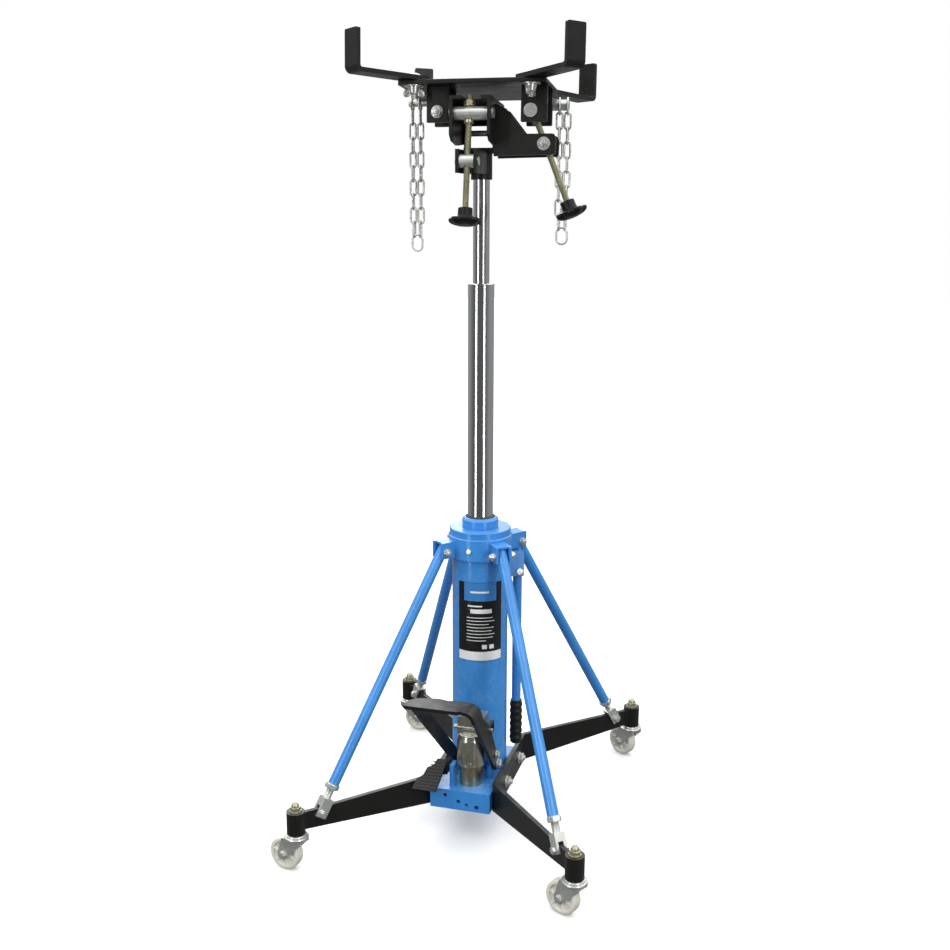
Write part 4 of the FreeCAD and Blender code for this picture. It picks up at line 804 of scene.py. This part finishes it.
def base_welds():
    """Bead round the cylinder's foot, and two upright beads where each leg bar meets its caster socket."""
    block_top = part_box("base_block")[1].z
    foot_path = ring_path(57.6 * MM, block_top + 0.8 * MM)
    weld_bead("cylinder_foot_weld", foot_path, 2.6 * MM, "chassis", "blue_paint")
    bend_x, bend_y = 67.1 * MM, 120 * MM
    out_from_socket, half_bar = 17.2 * MM, 5.2 * MM
    for number, (low, high) in enumerate(islands("caster_sockets")):
        centre = (low + high) / 2
        centre.z = 0
        bend = Vector((math.copysign(bend_x, centre.x), math.copysign(bend_y, centre.y), 0))
        inward = (bend - centre).normalized()
        across = Vector((-inward.y, inward.x, 0))
        for side in (-1, 1):
            start = centre + inward * out_from_socket + across * side * half_bar
            path = [start + UP * (low.z + 5 * MM), start + UP * (low.z + 39 * MM)]
            name = "socket_weld_%d%s" % (number, "ab"[side > 0])
            weld_bead(name, path, 2.0 * MM, "chassis", "black_paint")


# --- struts
def strut_hardware():
    """Lock nuts and threaded rods at the strut feet, laid over the CAD ends."""
    ends = [(low + high) / 2 for low, high in islands("strut_ends")]
    nut_across, nut_height, gap = 24.6 * MM, 10.4 * MM, 0.2 * MM
    rod_radius, rod_pitch, rod_depth = 7.4 * MM, 2.0 * MM, 0.8 * MM
    shape = Shape()
    for low, high in islands("strut_tubes"):
        tube_mid = (low + high) / 2
        foot = min(ends, key=lambda end: (end - tube_mid).length)
        rise = (tube_mid - foot).normalized()
        shape.place = local(foot, rise, UP)
        start = (tube_mid - foot).length - strut_length(low, high, rise) / 2
        hexagon(shape, nut_across, start - nut_height, start - gap)
        thread(shape, rod_radius, start - 32 * MM, start - 10 * MM, rod_pitch, rod_depth)
    shape.piece("strut_lock_nuts", "zinc", "chassis")


def strut_length(low, high, rise):
    """Length of a slanted round bar from its box; its ends are square to its axis."""
    tube_radius = 11 * MM
    drop = 2 * tube_radius * math.sqrt(max(0.0, 1 - rise.z * rise.z))
    return ((high.z - low.z) - drop) / rise.z


# --- label
LABEL_RADIUS = 57.9 * MM
LABEL_MIDDLE = -74
LABEL_LIFT = 0.05 * MM
LINE_ENDS = (26, 30, 18, 28, 24, 30, 27, 12)


def label_strip(name, start, end, bottom, top, material, layers):
    """Curved patch on the label, between two angles from its middle and two levels in mm."""
    count = max(2, int((end - start) / 3))
    radius = LABEL_RADIUS + layers * LABEL_LIFT
    turns = [math.radians(LABEL_MIDDLE + start + (end - start) * step / count) for step in range(count + 1)]
    shape = Shape()
    shape.rings([[(radius * math.cos(turn), radius * math.sin(turn), level * MM) for turn in turns]
                 for level in (bottom, top)], closed=False)
    shape.piece(name, "label", "chassis", material=material)


def label():
    """Plain vinyl label: black panel, white foot strip, blue top patch and neutral marks."""
    label_strip("label_white_foot", -47, 47, 359, 378, LABEL_WHITE, 1)
    label_strip("label_blue_centre", -34, 34, 486, 524.5, LABEL_BLUE, 1)
    label_strip("label_white_mark", -20, 18, 503, 507, LABEL_WHITE, 2)
    label_strip("label_white_title", -26, 4, 474, 477, LABEL_WHITE, 2)
    label_strip("label_white_heading", -20, 24, 460, 469, LABEL_WHITE, 2)
    for number, end in enumerate(LINE_ENDS):
        level = 450 - number * 7
        label_strip("label_line_%d" % number, -28, end, level, level + 1.5, LABEL_WHITE, 2)
    for number, start in enumerate((4, 19)):
        label_strip("label_mark_%d" % number, start, start + 10, 384, 393, LABEL_WHITE, 2)


# --- collar
STRUT_FOOT_X = 238 * MM
STRUT_FOOT_Y = 296 * MM


def strut_heading(plan):
    """Level directions along and across the strut that leaves the collar at a point."""
    foot = Vector((math.copysign(STRUT_FOOT_X, plan.x), math.copysign(STRUT_FOOT_Y, plan.y), 0))
    out = (foot - plan).normalized()
    return out, Vector((-out.y, out.x, 0))


def filler_plug(shape, level):
    """Round plug with a small hexagon in the front of the collar."""
    shape.place = local(Vector((-4.8 * MM, -63.5 * MM, level)), (-0.08, -1, 0), UP)
    shape.lathe(rounded_profile(5.4 * MM, 0, 5.2 * MM, 0.7 * MM, 2.4 * MM))
    hexagon(shape, 4.8 * MM, 2.0 * MM, 3.2 * MM)


def collar_bolts():
    """Hex heads on both sides of each strut bracket, and the filler plug."""
    plug_size = 22 * MM
    half_bracket = 16.5 * MM
    shape = Shape()
    for low, high in islands("collar_bolts"):
        centre = (low + high) / 2
        if (high - low).length < plug_size:
            filler_plug(shape, centre.z)
            continue
        axis = strut_heading(Vector((centre.x, centre.y, 0)))[1]
        for side in (-1, 1):
            hex_on(shape, centre + axis * side * half_bracket, axis * side, across=13 * MM, depth=5.6 * MM,
                   washer=8 * MM, dome=4.4 * MM)
    shape.piece("collar_dome_bolts", "zinc", "chassis", ("collar_bolts",))


def collar_welds():
    """Upright beads where the strut brackets meet the collar."""
    bracket_at, half_bracket = 62 * MM, 17.6 * MM
    collar_radius = 65.3 * MM
    low, high = 577 * MM, 600 * MM
    for number, (sx, sy) in enumerate(((-1, -1), (1, -1), (1, 1), (-1, 1))):
        plan = Vector((sx * bracket_at, sy * bracket_at, 0))
        out, across = strut_heading(plan)
        for side in (-1, 1):
            start = plan + across * side * half_bracket
            reach = math.sqrt(max(0.0, collar_radius ** 2 - start.dot(across) ** 2)) - start.dot(out)
            base = start + out * reach
            name = "collar_weld_%d%s" % (number, "ab"[side > 0])
            weld_bead(name, [base + UP * low, base + UP * high], 1.7 * MM, "chassis", "blue_paint")


# --- pump
def pedal_bolts():
    """Hinge nut and cross-bolt head on the pedal's right arm."""
    hinge = pivot("pedal_press")
    outer = max(vert.co.x for vert in NODES["pump_pedal"].data.vertices)
    shape = Shape()
    hex_on(shape, (outer, hinge.y, hinge.z), (1, 0, 0), across=15 * MM, depth=7 * MM, washer=10 * MM)
    cross_bolt = (outer, hinge.y - 9 * MM, hinge.z + 24 * MM)
    hex_on(shape, cross_bolt, (1, 0, 0), across=13 * MM, depth=5 * MM, washer=8.5 * MM)
    shape.piece("pedal_bolts", "zinc", "pump_pedal")


def sleeve_rim():
    """Rolled rim where the pump sleeve narrows to its head."""
    low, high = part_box("pump_barrel")
    centre = (low + high) / 2
    shape = Shape(Matrix.Translation((centre.x, centre.y, 221.2 * MM)))
    plain_ring(shape, 25.2 * MM, 0, 1.5 * MM, 10)
    shape.piece("pump_sleeve_rim", "zinc", "pump_plunger")


def release_ribs():
    """Anti-slip ribs across the release tread, each a little longer than the one above."""
    tilt = math.radians(52)
    run = Vector((0, math.cos(tilt), math.sin(tilt)))
    face = Vector((0, -math.sin(tilt), math.cos(tilt)))
    corner = Vector((-42, -172, 116)) * MM
    rib_count, first, spacing = 9, 5, 6.7
    shape = Shape()
    for step in range(rib_count):
        reach = first + step * spacing
        left = -46 + reach * 0.52
        right = reach * 0.17
        base = corner + run * reach * MM + face * 6.1 * MM
        path = [base + Vector((x, 0, 0)) * MM for x in (left, (left + right) / 2, right)]
        shape.tube(path, 1.25 * MM, 8)
    shape.piece("release_tread_ribs", "black_paint", "release_pedal")


# --- handle
# radius and level in mm at the grip's two ends
GRIP_END = ((0.5, 0), (6, 0.2), (10, 1.4), (12, 3.6))
GRIP_MOUTH = ((12.2, 96), (12.0, 98.4), (10.6, 99.0), (9.6, 99.0))


def grip():
    """Moulded hand grip with rounded finger rings and a domed end."""
    low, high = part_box("handle_grip")
    centre = (low + high) / 2
    shape = Shape(Matrix.Translation((centre.x, centre.y, low.z)))
    waist, swell = 11.9, 1.6
    ring_length, ring_steps = 15, 10
    rows = list(GRIP_END)
    for ring in range(6):
        base = 6 + ring * ring_length
        for step in range(ring_steps):
            wave = 0.5 - 0.5 * math.cos(2 * math.pi * step / ring_steps)
            rows.append((waist + swell * wave, base + step * ring_length / ring_steps))
    rows += GRIP_MOUTH
    shape.lathe(in_mm(rows), 40)
    shape.piece("moulded_grip", "grip_rubber", "handle", ("handle_grip",))


# --- tilt screws and knobs
# radius and level in mm
KNOB_HEAD = (
    (4, -16.6), (12, -16.2), (19, -15.2), (25, -13.2), (29, -10.4), (30.8, -7.8), (31, -5.4), (30.2, -3.4),
    (28, -2.6), (21, -2.2), (16.4, -1.6), (15.4, -0.4),
)
KNOB_HUB = ((15.4, -1.2), (14.6, 1.0), (13.8, 3.5), (13.4, 14.6), (12.8, 15.8), (11.8, 16.2), (7, 16.2))
LOBES = 7
LOBE_DEPTH = 5.0 * MM
LOBE_START = 15 * MM
LOBE_REACH = 14 * MM


def lobed(radius, level, angle):
    """Radius rule of the knob's rim: finger lobes that deepen outwards."""
    depth = LOBE_DEPTH * min(1.0, max(0.0, (radius - LOBE_START) / LOBE_REACH))
    return radius - depth * (0.5 - 0.5 * math.cos(LOBES * angle)) ** 0.8


def star_knob(name, node, joint, body):
    """Domed plastic knob with finger lobes and a stepped hub."""
    low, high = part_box(node)
    axis = axle(joint)
    centre = pivot(joint)
    along = ((low + high) / 2 - centre).dot(axis)
    shape = Shape(local(centre + axis * along, axis, UP.cross(axis) if abs(axis.z) < 0.999 else (1, 0, 0)))
    shape.lathe(in_mm(KNOB_HEAD), 112, lobed)
    shape.lathe(in_mm(KNOB_HUB), 48)
    shape.piece(name, "knob_plastic", body, (node,))


def threaded_screw(name, node, joint, body, reach):
    """Yellow-plated screw: cut thread, collar below its trunnion and washer and hex nut above."""
    centre, axis = pivot(joint), axle(joint)
    levels = [(vert.co - centre).dot(axis) for vert in NODES[node].data.vertices]
    shape = Shape(local(centre, axis))
    thread(shape, THREAD_RADIUS, min(levels), max(levels), THREAD_PITCH, THREAD_DEPTH, 20)
    collar_radius, collar_height = 9 * MM, 6 * MM
    shape.lathe(rounded_profile(collar_radius, -reach - collar_height, -reach, 0.8 * MM), 40)
    across, nut_height = 18 * MM, 10 * MM
    hexagon(shape, across, reach, reach + nut_height)
    washer_radius, washer_top = 10.4 * MM, 1.6 * MM
    shape.lathe(rounded_profile(washer_radius, reach - 0.1 * MM, reach + washer_top, 0.4 * MM), 40)
    shape.piece(name, "gold_zinc", body, (node,))


# --- saddle fasteners
def saddle_turn():
    """Rotation of the tilted saddle, from the record's joint axes."""
    lift = axle("arm_front_left_turn")
    return local((0, 0, 0), lift, axle("saddle_roll").cross(lift))


# radius and level in mm
WING_BODY = ((6.1, -2.5), (11, -2.6), (10.8, -5), (8.6, -13.4), (8.0, -14.4), (6.1, -14.4))
BOLT_DOME = ((12.4, -0.2), (12.6, 0.8), (11.6, 2.2), (9.4, 3.5), (6.4, 4.4), (3, 4.8), (0.3, 4.9))
WING_TILT = math.radians(44)
WING_STEPS = 8
WING_CORNERS = 16
WING_SPINS = (10, 75, -20, 40)


def wing_section(share):
    """Oval section of a wing, at a share of the way from its root to its tip."""
    centre_x = (7.5 + 10.5 * share) * MM
    centre_z = -(8.0 + 11.0 * share) * MM
    width = (4.6 + 2.4 * math.sin(math.pi * share)) * MM
    if share >= 0.85:
        width *= 0.72
    thick = (2.9 - 1.1 * share) * MM
    ring = []
    for corner in range(WING_CORNERS):
        angle = 2 * math.pi * corner / WING_CORNERS
        across = width * math.cos(angle)
        ring.append((centre_x + across * math.cos(WING_TILT), thick * math.sin(angle),
                     centre_z + across * math.sin(WING_TILT)))
    return ring


def wing_nut(shape, place, spin):
    """Wing nut hanging under the saddle: large washer, round body and two rounded wings."""
    shape.place = place
    shape.lathe(rounded_profile(17.8 * MM, -2.5 * MM, -0.1 * MM, 0.7 * MM), 56)
    shape.lathe(in_mm(WING_BODY), 36)
    for side in (0, math.pi):
        shape.place = place @ Matrix.Rotation(spin + side, 4, "Z")
        shape.rings([wing_section(step / WING_STEPS) for step in range(WING_STEPS + 1)])


def saddle_fasteners():
    """Wing nuts under the four arm bolts, and the bolts' domed heads and threads."""
    turn = saddle_turn()
    plate_bottom, arm_top = 8 * MM, 8.6 * MM
    thread_low, thread_high = -31.5 * MM, -7.5 * MM
    wings = Shape()
    bolts = Shape()
    for corner, spin in zip(CORNERS, WING_SPINS):
        joint = "arm_%s_turn" % corner
        centre = pivot(joint)
        lift = axle(joint)
        wing_nut(wings, Matrix.Translation(centre - lift * plate_bottom) @ turn, math.radians(spin))
        bolts.place = Matrix.Translation(centre + lift * arm_top) @ turn
        bolts.lathe(in_mm(BOLT_DOME), 48)
        bolts.place = Matrix.Translation(centre) @ turn
        thread(bolts, THREAD_RADIUS, thread_low, thread_high, THREAD_PITCH, THREAD_DEPTH, 20)
        bolts.lathe(in_mm(((5.1, -9), (5.1, 8.4))), 24)
    wings.piece("saddle_wing_nuts", "zinc", "saddle", ("wing_nuts",))
    bolts.piece("saddle_carriage_bolts", "zinc", "saddle", ("arm_bolts",))


# --- chains
def link_path(half_width, half_length, turn):
    """Closed stadium-shaped centre line of one upright link."""
    points = []
    straight = half_length - half_width
    for end in (1, -1):
        for step in range(13):
            angle = math.pi * step / 12
            x = half_width * math.cos(angle) * end
            z = (straight + half_width * math.sin(angle)) * end
            points.append((x, z))
    return [(x * math.cos(turn), x * math.sin(turn), z) for x, z in points]


def chain(side):
    """Welded-link chain: every link is an oval ring as wide, long and turned as its CAD solid."""
    name = "chain_" + side
    wire = 2.0 * MM
    swing = axle(name + "_swing")
    yaw = math.atan2(swing.y, swing.x)
    shape = Shape()
    for low, high in islands(name):
        centre = (low + high) / 2
        size = high - low
        turn = yaw if size.x > size.y else yaw + math.pi / 2
        wobble = 0.07 * math.sin(centre.z * 900)
        shape.place = Matrix.Translation(centre)
        path = link_path(max(size.x, size.y) / 2 - wire, size.z / 2 - wire, turn + wobble)
        shape.tube(path, wire, 12, closed=True)
    shape.piece("welded_" + name, "zinc", name, (name,))


# --- head fasteners and welds
def front_end(node, joint):
    """Foremost point of a pin on its joint's axis, and the direction it faces."""
    centre, axis = pivot(joint), axle(joint)
    facing = axis if axis.y < 0 else -axis
    pin_reach = 14 * MM
    reach = 0.0
    for vert in NODES[node].data.vertices:
        offset = vert.co - centre
        along = offset.dot(facing)
        if (offset - facing * along).length < pin_reach:
            reach = max(reach, along)
    return centre + facing * reach, facing


def head_bolts():
    """Washer, hex and stud end on the roll bolt and on the side screw's nut pin."""
    point, facing = front_end("chain_pegs", "saddle_roll")
    shape = Shape()
    hex_on(shape, point - facing * 8 * MM, facing, across=17 * MM, depth=6.2 * MM, washer=11.6 * MM,
           dome=4.6 * MM)
    shape.piece("roll_bolt_head", "zinc", "saddle")
    point, facing = front_end("roll_nut", "roll_nut_turn")
    shape = Shape()
    hex_on(shape, point - facing * 0.5 * MM, facing, across=12 * MM, depth=4 * MM, washer=10.5 * MM,
           dome=4 * MM)
    shape.piece("nut_pin_head", "zinc", "roll_nut")


def head_welds():
    """Bead round the top of the head socket and two upright beads beside its front clevis."""
    turn = local((0, 0, 0), UP, axle("frame_pitch"))
    socket_radius, yoke_level = 20.8, 1362.4
    clevis_low, clevis_high = 1324, 1361

    def place(x, y, z):
        return turn @ (Vector((x, y, z)) * MM)

    turns = [math.radians(angle) for angle in range(0, 361, 8)]
    yoke_path = [place(socket_radius * math.cos(a), socket_radius * math.sin(a), yoke_level) for a in turns]
    weld_bead("socket_yoke_weld", yoke_path, 1.8 * MM, "head", "black_paint")
    for tag, x in (("left", -19.6), ("right", 15.6)):
        y = -math.sqrt(20.5 ** 2 - x ** 2) - 1.0
        path = [place(x, y, clevis_low), place(x, y, clevis_high)]
        weld_bead("clevis_weld_" + tag, path, 1.6 * MM, "head", "black_paint")


# --- build
camera()
studio()
floor(studio_paper())
finish_cad_nodes()
cap_nuts()
wheels()
axle_hardware()
race_rims()
side_bolts()
base_welds()
strut_hardware()
label()
collar_bolts()
collar_welds()
pedal_bolts()
sleeve_rim()
release_ribs()
grip()
star_knob("front_star_knob", "front_knob", "front_screw_spin", "front_screw")
star_knob("roll_star_knob", "roll_knob", "roll_screw_spin", "roll_screw")
threaded_screw("front_tilt_screw", "front_screw", "front_screw_spin", "front_screw", 12.6 * MM)
threaded_screw("side_tilt_screw", "roll_screw", "roll_screw_spin", "roll_screw", 13.1 * MM)
saddle_fasteners()
chain("left")
chain("right")
head_welds()
head_bolts()
